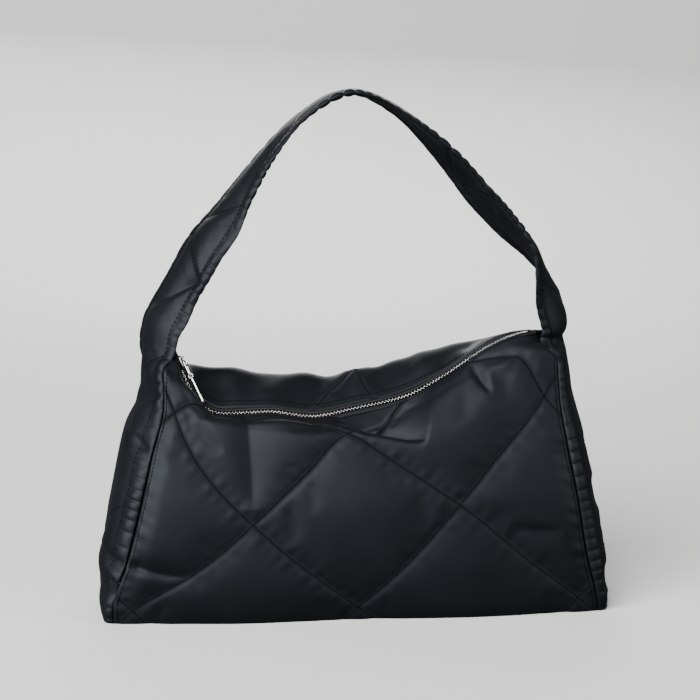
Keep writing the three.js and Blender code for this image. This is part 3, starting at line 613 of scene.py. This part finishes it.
def stitch_places(grid, i, j, pitch):
    """Centre, direction and outward direction of each stitch along a line drawn on a grid at i and j."""
    spots = on_grid(grid, i, j)
    outward = on_grid(grid_normals(grid), i, j)
    ahead = np.gradient(spots, axis=0)
    run = run_along(spots)
    at = np.arange(pitch / 2, max(run[-1], pitch), pitch)
    known = np.concatenate([spots, ahead, outward], 1)
    rows = np.stack([np.interp(at, run, column) for column in known.T], 1)
    return rows[:, :3], unit(rows[:, 3:6]), unit(rows[:, 6:])


def ring_faces(rings, sides, bodies=1, looped=False):
    """Faces of bodies made of rings of points, each ring joined to the next by quads. Both ends have a cap,
    unless the last ring joins the first one."""
    spans = rings if looped else rings - 1
    body, ring, side = np.meshgrid(np.arange(bodies), np.arange(spans), np.arange(sides), indexing="ij")
    near, far = (body * rings + ring) * sides, (body * rings + (ring + 1) % rings) * sides
    after = (side + 1) % sides
    faces = np.stack([near + side, near + after, far + after, far + side], -1).reshape(-1, 4).tolist()
    if not looped:
        cap = np.arange(bodies)[:, None] * rings * sides + np.arange(sides)
        faces += cap[:, ::-1].tolist() + (cap + (rings - 1) * sides).tolist()
    return faces


def superellipse(sides, square):
    """Points of a unit superellipse |x| ** square + |y| ** square = 1, counterclockwise."""
    angle = (np.arange(sides) + 0.5) * 2 * np.pi / sides
    wave = np.stack([np.cos(angle), np.sin(angle)], 1)
    return np.sign(wave) * np.abs(wave) ** (2 / square)


def rods(centre, axis, out, half, square, sides):
    """Rounded rods, one at each centre, with half their length along the axis, half their width and half
    their height along out. Round a rod and towards its ends its form is a superellipse, whose exponent is
    square: 2 is round, more is boxy."""
    t = np.array([-1, -0.7, 0.7, 1])
    shrink = (1 - np.abs(0.9 * t) ** square) ** (1 / square)
    wide, high = superellipse(sides, square).T * np.array(half[1:])[:, None]
    side = np.cross(out, axis)
    ring = side[:, None, None] * wide[:, None] + out[:, None, None] * high[:, None]
    points = centre[:, None, None] + (axis[:, None] * t[:, None] * half[0])[:, :, None]
    points = points + ring * shrink[:, None, None]
    return points.reshape(-1, 3), ring_faces(len(t), sides, len(centre))


def panel_lines():
    """Columns and rows of every stitched line on the panel: the quilting of both ways, then a line along
    each top edge and each side seam."""
    drawn = []
    row = np.linspace(0.3, CELLS_ALONG - 0.3, 600)
    for way in (1, -1):
        for number in range(-6, 7):
            column = CROSSING[0] - way * (row - CROSSING[1]) + number * 2 * DIAMOND
            kept = (column > 0.1) & (column < CELLS_ACROSS - 0.1)
            if kept.sum() > 8:
                drawn.append((column[kept], row[kept]))
    whole = np.linspace(0.3, CELLS_ACROSS - 0.3, 300)
    drawn += [(whole, 0 * whole + edge) for edge in (0.35, CELLS_ALONG - 0.35)]
    wall = np.linspace(2, CELLS_ALONG - 2, 500)
    drawn += [(0 * wall + edge, wall) for edge in (0.22, CELLS_ACROSS - 0.22)]
    return drawn


def sew(name, grid, drawn, pitch, half):
    """One mesh of the stitches along lines drawn on a grid, but for those within 1 mm of the floor."""
    sewing = [stitch_places(grid, i, j, pitch) for i, j in drawn]
    sewing = [np.concatenate(part) for part in zip(*sewing)]
    above_floor = sewing[0][:, 2] > 1
    points, faces = rods(*[part[above_floor] for part in sewing], half, 2, 6)
    return place_mesh(name, points * MM, faces)


drawn_lines = [(2 * FINE * i, 2 * FINE * j) for i, j in panel_lines()]
body_stitches = sew("quilting_stitches", body_grid, drawn_lines, STITCH_PITCH, STITCH_HALF)


def thread_finish():
    """Black polyester thread, two strands twisted: a fine slanting wave along the stitch."""
    material, tree, shader = new_finish("thread")
    place = tree.node("TexCoord", out="Object")
    twist = tree.node("TexWave", {"bands_direction": "DIAGONAL"}, {"Vector": place, "Scale": 260.0})
    bump = tree.node("Bump", inputs={"Strength": 0.4, "Distance": 0.0002, "Height": twist})
    feed(tree, shader, Base_Color=(0.0022, 0.0024, 0.003, 1), Roughness=twist * 0.08 + 0.85, Normal=bump,
         Specular_IOR_Level=0.06)
    return material


thread = thread_finish()
body_stitches.data.materials.append(thread)
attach(body_stitches, "bag")


# Shoulder band: one long strip of the same quilted nylon that makes both side gussets and, between them,
# the padded strap. Its edges are gathered, turned in and top-stitched a finger's breadth from the fold.
STRAP = table("""
x y z turn width curl
-143 0 196 31 52 6
-139 1 212 33 52 8
-121 1 245 34 50 8
-106 1 270 33 50 8
-91 1 290 28 49 7
-65 0 331 10 48 4
-34 0 366 3 47 2
0 0 383 0 46 1
36 0 368 -4 47 2
72 0 334 -14 48 6
98 0 304 -20 49 7
118 0 281 -16 50 7
133 0 263 -4 51 7
141 0 246 14 53 7
149 0 226 29 55 8
153 0 209 28 54 9
153 0 200 25 53 6
""")
LIP_ROW = 2  # the panel's row where the gussets end
EDGE_BAND = 8.0  # from the band's edge to its row of top-stitching
EDGE_CELLS = 4  # lanes of the simulated band in each edge and between them
MIDDLE_CELLS = 12
BAND_FINE = 7  # steps of the simulated band between two stations
BAND_WALL = 3.0  # its thickness, and how far its wadding stands out
BAND_PUFF = 1.5
EDGE_ROLL = 1.3  # how far the gathered edges stand up
TURNED = np.array([1.2, -3.6, 0])  # the right gusset's front strip is turned to the front
TURNED_AT = 9.0  # most at this distance from its edge

# Gathers of the front and the back edge: their lane, where they start, how far apart they are, how high
# the cloth stands between them and how far it pushes the edge itself in and out.
EDGE_GATHERS = table("""
lane phase apart height wave
0 0.4 8.5 2.3 1.0
20 1.9 13 0.8 0.3
""")

STRAP_STEP = 13.0  # between the strap's stations
BAND_LINES = 128.0  # between the quilting lines of one way, along the band
BAND_SLOPE = 0.75  # run along the band for each step across it
BAND_CROSSING = (-101, 1, 277)  # nearest place on the strap's middle line to a crossing of them,
CROSSING_SIDE = 25.0  # which lies this far to the back of that line
STRAP_FOOT = 195.0  # height where the gussets end and the strap starts
BAND_ROUND = 120.0  # width of the cloth map all round the band
TOP_STITCH_PITCH = 3.4
TOP_STITCH_HALF = (0.95, 0.55, 0.5)

# Folds of the strap and the gussets, in the same columns as the front's.
BAND_FOLDS = table("""
x0 z0 xm zm x1 z1 left right height crease tuck taper
-148 226 -130 241 -110 250 11 3 -6 1.3 0.5 0
136 206 142 200 148 191 4 3 -2.5 1.4 0 0
141 203 147 192 152 178 4 3 -2.2 1.4 0 0
92 318 96 308 97 298 4 7 -3 1.4 0 0
-160 138 -156 131 -149 128 5 5 -3 1.4 0 0
-186 55 -180 49 -172 48 5 4 -3.5 1.3 0 0
-182 42 -176 46 -168 44 5 5 -2.5 1.4 0 0
-196 27 -184 26 -172 30 9 9 -3.5 2 0 0
-158 176 -152 168 -146 160 7 7 -2.5 1.6 0 0
178 100 182 88 184 74 7 7 -2 1.6 0 0
186 34 189 24 188 14 6 6 -2.5 1.5 0 0
""")


def gusset_edges(side):
    """Front and back edge, the bow and its power of one gusset, from its foot up, at the panel's rows."""
    u = np.array([-1.0 if side == "left" else 1.0])
    row = np.arange(FRONT_FOOT, LIP_ROW - 1, -1.0)
    front = panel_points(u, row)[0]
    back = panel_points(u, CELLS_ALONG - row)[0]
    bow = smooth_curve(GUSSET["row"], GUSSET[side][:, None, None], row[None, :])[0, :, 0]
    power = np.interp(row, (LIP_ROW, FRONT_FOOT), BOW_POWER[::-1])
    return np.column_stack([front, back, bow, power])


def strap_edges():
    """Front and back edge, the curl and its power of the strap along its middle line. The way across it is
    turned from level about the strap's own run by the angle in the table."""
    rows = np.stack([STRAP[name] for name in STRAP], 1)
    at = np.arange(len(rows))
    length = np.linalg.norm(np.diff(rows[:, :3], axis=0), axis=1)
    steps = np.maximum(1, np.round(length / STRAP_STEP)).astype(int)
    t = np.concatenate([k + np.arange(n) / n for k, n in enumerate(steps)] + [[at[-1]]])
    spot = smooth_curve(at, rows[:, None, :], t[None, :], limited=False)[0]
    twist = smooth_curve(at, rows[:, None, 3:], t[None, :])[0]
    along = unit(np.gradient(spot[:, :3], axis=0))
    outward = unit(np.stack([-along[:, 2], 0 * t, along[:, 0]], 1))
    angle = np.radians(twist[:, :1])
    across = np.array([0, 1, 0]) * np.cos(angle) + outward * np.sin(angle)
    middle = spot[:, :3] - np.array([MIDDLE_X, 0, 0])
    half = across * twist[:, 1:2] / 2
    return np.column_stack([middle - half, middle + half, twist[:, 2], 0 * t + BOW_POWER[1]])


edges = np.concatenate([gusset_edges("left"), strap_edges(), gusset_edges("right")[::-1]])
stations = np.linspace(0, len(edges) - 1, (len(edges) - 1) * BAND_FINE + 1)
edges = smooth_curve(np.arange(len(edges)), edges[:, None, :], stations[None, :], limited=False)[0]
front_edge, back_edge, bow, bow_power = edges[:, :3], edges[:, 3:6], edges[:, 6], edges[:, 7]
band_middle = (front_edge + back_edge) / 2
band_run = run_along(band_middle)
band_width = np.linalg.norm(back_edge - front_edge, axis=1)
band_cells = 2 * EDGE_CELLS + MIDDLE_CELLS


def band_across():
    """Place across the band of each lane, from -1 at the front edge to 1 at the back: even steps in the
    two edge bands and even steps between them."""
    edge = 2 * EDGE_BAND / band_width
    lane = np.arange(band_cells + 1)[:, None]
    low = -1 + edge * np.clip(lane / EDGE_CELLS, 0, 1)
    high = edge * np.clip((lane - band_cells + EDGE_CELLS) / EDGE_CELLS, 0, 1)
    return low + (2 - 2 * edge) * np.clip((lane - EDGE_CELLS) / MIDDLE_CELLS, 0, 1) + high


band_w = band_across()
along = np.gradient(band_middle, axis=0)
outward = unit(np.cross(along, back_edge - front_edge))
lerp = (band_w[..., None] + 1) / 2
bowed = bow * (1 - np.abs(band_w) ** bow_power)
band = front_edge + (back_edge - front_edge) * lerp + outward * bowed[..., None]
low_right = np.where(front_edge[:, 0] > 0, eased(STRAP_FOOT - front_edge[:, 2], 25), 0)
turned = (band_w + 1) / 2 * band_width / TURNED_AT
turned = turned * np.exp(1 - turned) * low_right
band = band + TURNED * turned[..., None]
band_out = grid_normals(band)
y_across = band_w * band_width / 2
crossing_run = band_run[np.argmin(np.linalg.norm(band_middle - np.array(BAND_CROSSING), axis=1))]
gap_bands = []
for way in (1, -1):
    lines = (band_run[None, :] - crossing_run - way * BAND_SLOPE * (y_across - CROSSING_SIDE)) / BAND_LINES
    gap_bands.append(np.abs(lines - np.round(lines)) * BAND_LINES / np.hypot(1, BAND_SLOPE))
band_gap = np.minimum(*gap_bands)
lane = np.arange(band_cells + 1)[:, None] + 0 * band_w
in_middle = (lane >= EDGE_CELLS) & (lane <= band_cells - EDGE_CELLS)
from_edge = np.minimum(lane, band_cells - lane)
from_line = np.where(in_middle, np.minimum(from_edge - EDGE_CELLS, 99) * 2.2, 99)
soft = np.where(in_middle, np.clip(np.minimum(band_gap, from_line) / 9, 0, 1) ** 0.7, 0)
roll = np.where(in_middle, 0, np.sin(np.pi * from_edge / EDGE_CELLS))
band_sewn = (from_edge == 0) | (from_edge == EDGE_CELLS) | (in_middle & (band_gap < 1.4))
band_sewn[:, [0, -1]] = True
outer_start = band + band_out * (BAND_PUFF * soft + EDGE_ROLL * roll)[..., None]
thick = np.where(from_edge == 0, 0, BAND_WALL * np.clip(0.55 + soft + 0.3 * roll, 0, 1))
inner_start = band - band_out * thick[..., None]
ring_start = np.concatenate([outer_start, inner_start[-2:0:-1]])
ring_sewn = np.concatenate([band_sewn, band_sewn[-2:0:-1]])


def refine_tube(tube):
    """The same easing as for a grid, with the way round the tube closed on itself."""
    wrapped = refine(np.concatenate([tube[-2:], tube, tube[:3]]))
    return wrapped[4:4 + 2 * len(tube)]


ring_quads = grid_faces(len(ring_start), len(stations) - 1, closed=True)
swollen = swell(ring_start.reshape(-1, 3) * MM, ring_quads, ring_sewn.ravel(),
                pressure=3.0, spare=0.003, bend=3.0, frames=20, most=4 * MM)
swollen = swollen.reshape(ring_start.shape) / MM
tube = refine_tube(swollen)


def gathered(run, apart, phase):
    """Flat-topped lobes between the narrow gathers of an edge: a low power of a sine's size, with a
    wandering spacing and a height that comes and goes."""
    wander = run + 3.0 * np.sin(run / 19 + phase) + 1.2 * np.sin(run / 7.3 + 2 * phase)
    full = 0.7 + 0.3 * np.sin(run / 13.7 + 3 * phase)
    return full * np.abs(np.sin(np.pi * wander / apart + phase)) ** 0.32


def tube_relief(tube):
    """The tube with its edges gathered into lobes, which also push the edge itself in and out, and with the
    folds of the band, which move both of its faces together."""
    round_steps = len(tube)
    ring = np.arange(round_steps)
    lane = np.minimum(ring, round_steps - ring) / 2
    run = stretched(band_run, tube.shape[1])
    ahead = np.gradient(tube, axis=1)
    onward = np.roll(tube, -1, 0) - np.roll(tube, 1, 0)
    out = unit(np.cross(ahead, onward))
    middle = (tube[0] + tube[round_steps // 2]) / 2
    for edge, phase, apart, height, wave in zip(*EDGE_GATHERS.values()):
        within = np.clip(1 - np.abs(lane - edge) / EDGE_CELLS, 0, 1)[:, None]
        lobes = gathered(run, apart, phase)[None, :] - 0.6
        tube = tube + out * (height * np.sin(np.pi * within) * lobes)[..., None]
        tip = tube[int(2 * edge)]
        slow = np.sin(run / 11.3 + phase) + 0.7 * np.sin(run / 6.1 + 4 * phase)
        tube = tube + unit(tip - middle) * (wave * within ** 2 * (lobes + slow) * strap_share)[..., None]
    along = np.round(stretched(np.arange(band.shape[1]), tube.shape[1])).astype(int)
    across = np.clip(np.round(lane).astype(int), 0, band_cells)
    both = band_out[across[:, None], along[None, :]]
    folds = fold_heights(tube, BAND_FOLDS) * on_front_half(tube)[..., None]
    moved = tube + both * folds[..., :1]
    moved[..., ::2] += folds[..., 1:]
    return moved


def on_front_half(tube):
    """1 on the front half of the band and on the strap, fading to 0 towards the back of the gussets."""
    return eased(-tube[..., 1], 24, 0.5)


strap_share = eased(stretched(band_middle[:, 2], tube.shape[1]) - STRAP_FOOT, 15)[None, :]
tube = tube_relief(tube)
tube[..., 2] = np.maximum(tube[..., 2], 0)
tube_long = tube.shape[1] - 1
cap = np.arange(len(tube) // 2 - 1)
far_side = (len(tube) - cap) % len(tube)
low_cap = np.stack([cap, cap + 1, len(tube) - cap - 1, far_side], 1) * (tube_long + 1)
band_faces = grid_faces(len(tube), tube_long, closed=True).tolist()
band_faces += low_cap.tolist() + (low_cap[:, ::-1] + tube_long).tolist()
shoulder_band = place_mesh("shoulder_band_cloth", tube.reshape(-1, 3) * MM, band_faces,
                           cloth_map(tube.shape, BAND_ROUND, band_run))
shoulder_band.data.materials.append(nylon)
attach(shoulder_band, "bag")
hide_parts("shoulder_band")


# Top-stitching of the band: two rows of thread, each a finger's breadth from an edge, and the band's own
# quilting lines, on the outer face all along and on the inner face of the strap.
def band_lines():
    """Ring and station of every stitched line on the tube, whose points are two to a step of the band."""
    whole = np.linspace(0, tube_long, 1500)
    strap = whole[np.interp(whole, np.arange(tube_long + 1), strap_share[0]) > 0.5]
    near, far = 2 * EDGE_CELLS, 2 * (band_cells - EDGE_CELLS)
    drawn = [(0 * whole + near, whole), (0 * whole + far, whole)]
    drawn += [(0 * strap + len(tube) - near, strap), (0 * strap + len(tube) - far, strap)]
    share = np.linspace(-1, 1, 60)
    for way in (1, -1):
        for number in range(-12, 13):
            station = 0 * share + len(stations) / 2
            for _ in range(12):
                half = np.interp(station, np.arange(len(stations)), band_width) / 2 - EDGE_BAND
                run = crossing_run + number * BAND_LINES + way * BAND_SLOPE * (share * half - CROSSING_SIDE)
                station = np.interp(run, band_run, np.arange(len(stations)))
            kept = (run > 4) & (run < band_run[-1] - 4)
            ring = near + (share + 1) / 2 * (far - near)
            if kept.sum() > 8:
                drawn.append((ring[kept], 2 * station[kept]))
                if strap_share[0, int(2 * station[len(share) // 2])] > 0.5:
                    drawn.append((len(tube) - ring[kept], 2 * station[kept]))
    return drawn


looped_tube = np.concatenate([tube, tube[:1]])
band_stitches = sew("band_stitches", looped_tube, band_lines(), TOP_STITCH_PITCH, TOP_STITCH_HALF)
band_stitches.data.materials.append(thread)
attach(band_stitches, "bag")


# Zip tapes: two narrow strips of black woven webbing, sewn under the turned edges of the cloth, each with a
# thicker corded edge that carries its row of teeth.
TAPE_REACH = (2.3, 5.4)  # from the middle of the zip to both edges of a tape
TAPE_THICK = 1.0
ZIP_STEPS = 320


def zip_strip(low, high, thick, sides, square):
    """Strip along the zip: a superellipse between two distances across it, carried along its whole length."""
    u = np.linspace(-1, 1, ZIP_STEPS + 1)
    spot, _, across, out = zip_frame(u)
    ring = superellipse(sides, square)
    wide = (low + high) / 2 + (high - low) / 2 * ring[:, 0]
    points = spot[:, None] + across[:, None] * wide[:, None] + out[:, None] * (thick / 2 * ring[:, 1:])
    points[..., 0] -= MIDDLE_X
    run = np.broadcast_to((u[:, None] + 1) / 2 * zip_length, points.shape[:2])
    flat = np.stack([np.broadcast_to(wide, run.shape), run], -1)
    return points.reshape(-1, 3) * MM, ring_faces(len(u), sides), flat.reshape(-1, 2) * MM


def tape_finish():
    """Black polyester webbing: a herringbone of fine ribs along and across, matt. Its colour follows the
    ribs' height, with painted shade in the hollows between them and a painted highlight on their tops.
    """
    material, tree, shader = new_finish("zip_tape")
    flat = tree.node("UVMap", {"uv_map": "cloth"})
    ribs = tree.node("TexWave", {"bands_direction": "Y"}, {"Vector": flat, "Scale": 300.0})
    slant = tree.node("TexWave", {"bands_direction": "DIAGONAL"}, {"Vector": flat, "Scale": 420.0})
    height = ribs * 0.6 + slant * 0.4
    bump = tree.node("Bump", inputs={"Strength": 0.5, "Distance": 0.0003, "Height": height})
    # Painted shade and highlight of the weave: the colour is darker where the ribs are low and lighter where
    # they are high.
    colour = tree.node("ValToRGB", {"stops": [
        (0.2, (0.004, 0.0042, 0.005, 1)), (0.9, (0.012, 0.0125, 0.014, 1))]}, {"Fac": height})
    feed(tree, shader, Base_Color=colour, Roughness=height * 0.15 + 0.7, Normal=bump)
    return material


webbing = tape_finish()
for name, side in (("front", -1), ("back", 1)):
    low, high = sorted(side * reach for reach in TAPE_REACH)
    tape = place_mesh(f"zip_tape_{name}_webbing", *zip_strip(low, high, TAPE_THICK, 16, 5))
    tape.data.materials.append(webbing)
    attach(tape, "bag")
    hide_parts(f"zip_tape_{name}")


# Zip teeth: two rows of bright nickel-plated teeth pressed onto the tapes, each row set half a pitch behind
# the other so that they lock along the middle.
TOOTH_PITCH = 2.6
TEETH_FROM = 19.5  # the first tooth after the slider and the last before the right end, along the zip
TEETH_TO = 4.5
TOOTH_HALF = (1.12, 0.56, 1.0)  # half its length across the zip, width along it and height
TOOTH_SHIFT = 0.55  # from the middle of the zip to the middle of a tooth


def teeth():
    """Boxy rounded rods across the zip, a row for each tape."""
    parts = []
    for side, lag in ((-1, 0), (1, TOOTH_PITCH / 2)):
        run = np.arange(TEETH_FROM + lag, zip_length - TEETH_TO, TOOTH_PITCH)
        spot, _, across, out = zip_frame(2 * run / zip_length - 1)
        parts.append((spot + across * side * TOOTH_SHIFT - np.array([MIDDLE_X, 0, 0]), across, out))
    centre, axis, out = (np.concatenate(part) for part in zip(*parts))
    return rods(centre, axis, out, TOOTH_HALF, 4, 8)


def nickel_finish():
    """Nickel plating: bright and slightly warm, with a fine brushed unevenness and faint dulling."""
    material, tree, shader = new_finish("zip_metal")
    place = tree.node("TexCoord", out="Object")
    worn = tree.node("TexNoise", inputs={"Vector": place, "Scale": 900.0, "Detail": 4.0})
    dull = tree.node("TexNoise", inputs={"Vector": place, "Scale": 160.0, "Detail": 2.0})
    colour = tree.node("ValToRGB", {"stops": [
        (0.3, (0.5, 0.49, 0.475, 1)), (0.7, (0.72, 0.71, 0.69, 1))]}, {"Fac": dull})
    bump = tree.node("Bump", inputs={"Strength": 0.12, "Distance": 0.0002, "Height": worn})
    feed(tree, shader, Base_Color=colour, Metallic=1.0, Roughness=worn * 0.2 + 0.18, Normal=bump)
    return material


nickel = nickel_finish()
tooth_points, tooth_faces = teeth()
chain = place_mesh("zip_chain_teeth", tooth_points * MM, tooth_faces)
chain.data.materials.append(nickel)
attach(chain, "bag")
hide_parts("zip_chain")


# Zip slider: a die-cast nickel-plated body of two plates joined by a post at its left end, with a bridge on
# its face that the pull hangs from. It stands at the closed, left end of the zip.
SLIDER_RUN = 8.0  # from the left end of the tapes to the slider
SLIDER_SIZE = (10.0, 8.4)  # its length and width, and the share of it at its narrow end
SLIDER_WAIST = 0.72
PLATE_LOW = 1.55  # from the middle of the teeth to the plates
PLATE_THICK = 1.2
PLATE_RIM = 0.4  # radius of their rims
POST = (1.6, 3.8, 1.2)  # its two ends along the slider, and half its width
BRIDGE_FOOT = 3.25  # half the length between the feet of the bridge, to their middles
BRIDGE_RISE = 3.05
BRIDGE_SUNK = 0.5  # depth of its feet in the plate
BRIDGE_HALF = (0.55, 0.8)  # half its thickness and width
slider_spot, slider_along, slider_across, slider_out = (
    part[0] for part in zip_frame(np.array([2 * SLIDER_RUN / zip_length - 1])))
slider_spot = slider_spot - np.array([MIDDLE_X, 0, 0])
slider_axes = np.stack([slider_along, slider_across, slider_out])


def rounded_plate(outline, low, high, rim):
    """Flat plate over an outline, from low to high, whose rims are drawn in by a quarter circle."""
    turn = np.linspace(0, np.pi / 2, 4)
    inset = np.concatenate([rim * (1 - np.sin(turn)), rim * (1 - np.cos(turn))])
    height = np.concatenate([low + rim * (1 - np.cos(turn)), high - rim * (1 - np.sin(turn))])
    ahead = unit(np.roll(outline, -1, 0) - np.roll(outline, 1, 0))
    inward = np.stack([-ahead[:, 1], ahead[:, 0]], 1)
    flat = outline + inward * inset[:, None, None]
    level = np.broadcast_to(height[:, None, None], flat.shape[:2] + (1,))
    return np.concatenate([flat, level], -1).reshape(-1, 3), ring_faces(len(inset), len(outline))


def swept_bar(path, out, half, square, looped=False):
    """Superellipse bar along a path: half its size square to out comes first, then half along out."""
    ahead = np.roll(path, -1, 0) - np.roll(path, 1, 0) if looped else np.gradient(path, axis=0)
    side = np.cross(out, unit(ahead))
    ring = superellipse(12, square)
    points = path[:, None] + side[:, None] * ring[:, :1] * half[0] + np.asarray(out) * ring[:, 1:] * half[1]
    return points.reshape(-1, 3), ring_faces(len(path), 12, looped=looped)


def joined(*parts):
    """Several meshes as one."""
    points = np.concatenate([part[0] for part in parts])
    first = np.cumsum([0] + [len(part[0]) for part in parts[:-1]])
    faces = [[corner + int(start) for corner in face]
             for start, part in zip(first, parts) for face in part[1]]
    return points, faces


def slider_outline():
    """Superellipse whose width narrows from the post's end to the other."""
    ring = superellipse(48, 5)
    x = (ring[:, 0] + 1) / 2
    narrow = 1 + (SLIDER_WAIST - 1) * np.clip((x - 0.35) / 0.5, 0, 1)
    return np.stack([x * SLIDER_SIZE[0], ring[:, 1] * narrow * SLIDER_SIZE[1] / 2], 1)


plate_top = PLATE_LOW + PLATE_THICK
bridge_turn = np.linspace(np.pi, 0, 33)
bridge_path = np.stack([
    SLIDER_SIZE[0] / 2 + BRIDGE_FOOT * np.sign(np.cos(bridge_turn)) * np.abs(np.cos(bridge_turn)) ** 0.6,
    0 * bridge_turn,
    plate_top - BRIDGE_SUNK + (BRIDGE_RISE + BRIDGE_SUNK) * np.sin(bridge_turn) ** 0.7], 1)
post_ring = superellipse(24, 4) * np.array([(POST[1] - POST[0]) / 2, POST[2]])
post_ring[:, 0] += (POST[0] + POST[1]) / 2
slider_points, slider_faces = joined(
    rounded_plate(slider_outline(), PLATE_LOW, plate_top, PLATE_RIM),
    rounded_plate(slider_outline(), -plate_top, -PLATE_LOW, PLATE_RIM),
    rounded_plate(post_ring, -PLATE_LOW - 0.3, PLATE_LOW + 0.3, 0.1),
    swept_bar(bridge_path, (0, 1, 0), BRIDGE_HALF, 4))
slider = place_mesh("zip_slider_body", (slider_spot + slider_points @ slider_axes) * MM, slider_faces)
slider.data.materials.append(nickel)
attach(slider, "bag")
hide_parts("zip_slider")


# Zip pull: a bent wire link that hangs in the slider's bridge, and a slim tab rolled round the link's lower
# bar, with a thicker grip at its end. Both are nickel-plated and lie along the teeth.
PULL_LIFT = 6.0  # degrees by which the resting pull stands off the teeth
BAR_HEIGHT = 3.85  # of the link's upper bar over the middle of the teeth
LINK_SIZE = (13.0, 5.8)  # between the middles of its wires
WIRE = 0.6  # half its thickness
EYE_RADIUS = 1.52  # of the middle of the tab's rolled eye, then half its thickness and width
EYE_HALF = (0.375, 1.9)
TAB_LENGTH = 22.0
TAB_HALF = (1.65, 0.6)  # half its width and thickness
GRIP_LENGTH = 7.0
GRIP_HALF = (2.3, 0.95)
lift = np.radians(PULL_LIFT)
pull_axes = np.stack([slider_along * np.cos(lift) + slider_out * np.sin(lift), slider_across,
                      slider_out * np.cos(lift) - slider_along * np.sin(lift)])
pull_spot = slider_spot + slider_along * SLIDER_SIZE[0] / 2 + slider_out * BAR_HEIGHT
link_ring = superellipse(72, 8) * np.array(LINK_SIZE) / 2
link_path = np.column_stack([link_ring[:, 0] + LINK_SIZE[0] / 2, link_ring[:, 1], 0 * link_ring[:, 0]])
link_points, link_faces = swept_bar(link_path, (0, 0, 1), (WIRE, WIRE), 2, looped=True)
link = place_mesh("pull_link_wire", (pull_spot + link_points @ pull_axes) * MM, link_faces)
eye_turn = np.arange(24) * np.pi / 12
eye_path = EYE_RADIUS * np.stack([np.cos(eye_turn), 0 * eye_turn, -np.sin(eye_turn)], 1)


def bar_outline(start, end, half):
    """Superellipse between two places along x."""
    ring = superellipse(40, 6)
    return np.stack([(start + end) / 2 + (end - start) / 2 * ring[:, 0], half * ring[:, 1]], 1)


blade = bar_outline(EYE_RADIUS - 0.2, TAB_LENGTH - 1, TAB_HALF[0])
grip = bar_outline(TAB_LENGTH - GRIP_LENGTH, TAB_LENGTH, GRIP_HALF[0])
tab_points, tab_faces = joined(
    swept_bar(eye_path, (0, 1, 0), EYE_HALF, 4, looped=True),
    rounded_plate(blade, -TAB_HALF[1], TAB_HALF[1], 0.3),
    rounded_plate(grip, -GRIP_HALF[1], GRIP_HALF[1], 0.5))
tab_points = tab_points + np.array([LINK_SIZE[0], 0, 0])
tab = place_mesh("pull_tab_blade", (pull_spot + tab_points @ pull_axes) * MM, tab_faces)
for piece, body_name in ((link, "pull_link"), (tab, "pull_tab")):
    piece.data.materials.append(nickel)
    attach(piece, body_name)
    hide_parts(body_name)


# Floor and light: a plain pale floor that runs up into a backdrop, a broad soft light from the front left
# above, smaller ones from the left and the right and a weak one from behind. The floor isn't mirrored.
FLOOR_WIDE = 4.0  # half its width, in metres like all sizes here
FLOOR_ENDS = (-3.0, 1.2)  # from its front edge to where it starts to turn up
TURN_RADIUS = 0.8
WALL_HEIGHT = 2.5
TURN_SHARES = (0.45, 0.65)  # shares of the profile's steps where the turn starts and ends


def sweep_floor():
    """Level floor that turns up through a quarter circle into a wall: a profile carried across."""
    run = np.linspace(0, 1, 60)
    front, back = FLOOR_ENDS
    level, turned = TURN_SHARES
    angle = eased(run - level, turned - level) * np.pi / 2
    y = np.where(run < level, front + run / level * (back - front), back + TURN_RADIUS * np.sin(angle))
    z = np.where(run < turned, TURN_RADIUS * (1 - np.cos(angle)),
                 TURN_RADIUS + (run - turned) / (1 - turned) * WALL_HEIGHT)
    x = np.linspace(-FLOOR_WIDE, FLOOR_WIDE, 3)
    points = np.stack(np.broadcast_arrays(x[:, None], y[None, :], z[None, :]), -1)
    return place_mesh("floor", points.reshape(-1, 3), grid_faces(2, len(run) - 1)[:, ::-1])


floor = sweep_floor()
paint, paint_tree, paint_shader = new_finish("floor_paint")
feed(paint_tree, paint_shader, Base_Color=(0.9, 0.894, 0.878, 1), Roughness=0.9)
floor.data.materials.append(paint)
floor.visible_glossy = False
floor.visible_diffuse = False


def softbox(name, place, aim, size, power):
    """Soft rectangular light at a place, turned to its aim: two sizes in metres and a power in watts."""
    light = bpy.data.lights.new(name, "AREA")
    light.shape = "RECTANGLE"
    light.size, light.size_y = size
    light.energy = power
    lamp = bpy.data.objects.new(name, light)
    bpy.context.scene.collection.objects.link(lamp)
    lamp.location = place
    lamp.rotation_euler = (Vector(aim) - Vector(place)).to_track_quat("-Z", "Y").to_euler()


softbox("key", (-1.2, -1.9, 1.7), (0, 0, 0.12), (2.4, 1.6), 150)
softbox("side", (-2.1, -1.5, 0.5), (0, 0, 0.12), (1.4, 1.0), 66)
softbox("fill", (2.1, -1.0, 1.0), (0, 0, 0.15), (1.4, 1.4), 26)
softbox("back", (0.1, 1.7, 0.9), (0, 0, 0.15), (1.6, 0.5), 22)
world = bpy.data.worlds.new("studio")
world.use_nodes = True
sky = world.node_tree.nodes["Background"].inputs
sky["Color"].default_value = (0.9, 0.95, 1.0, 1)
sky["Strength"].default_value = 0.06
bpy.context.scene.world = world
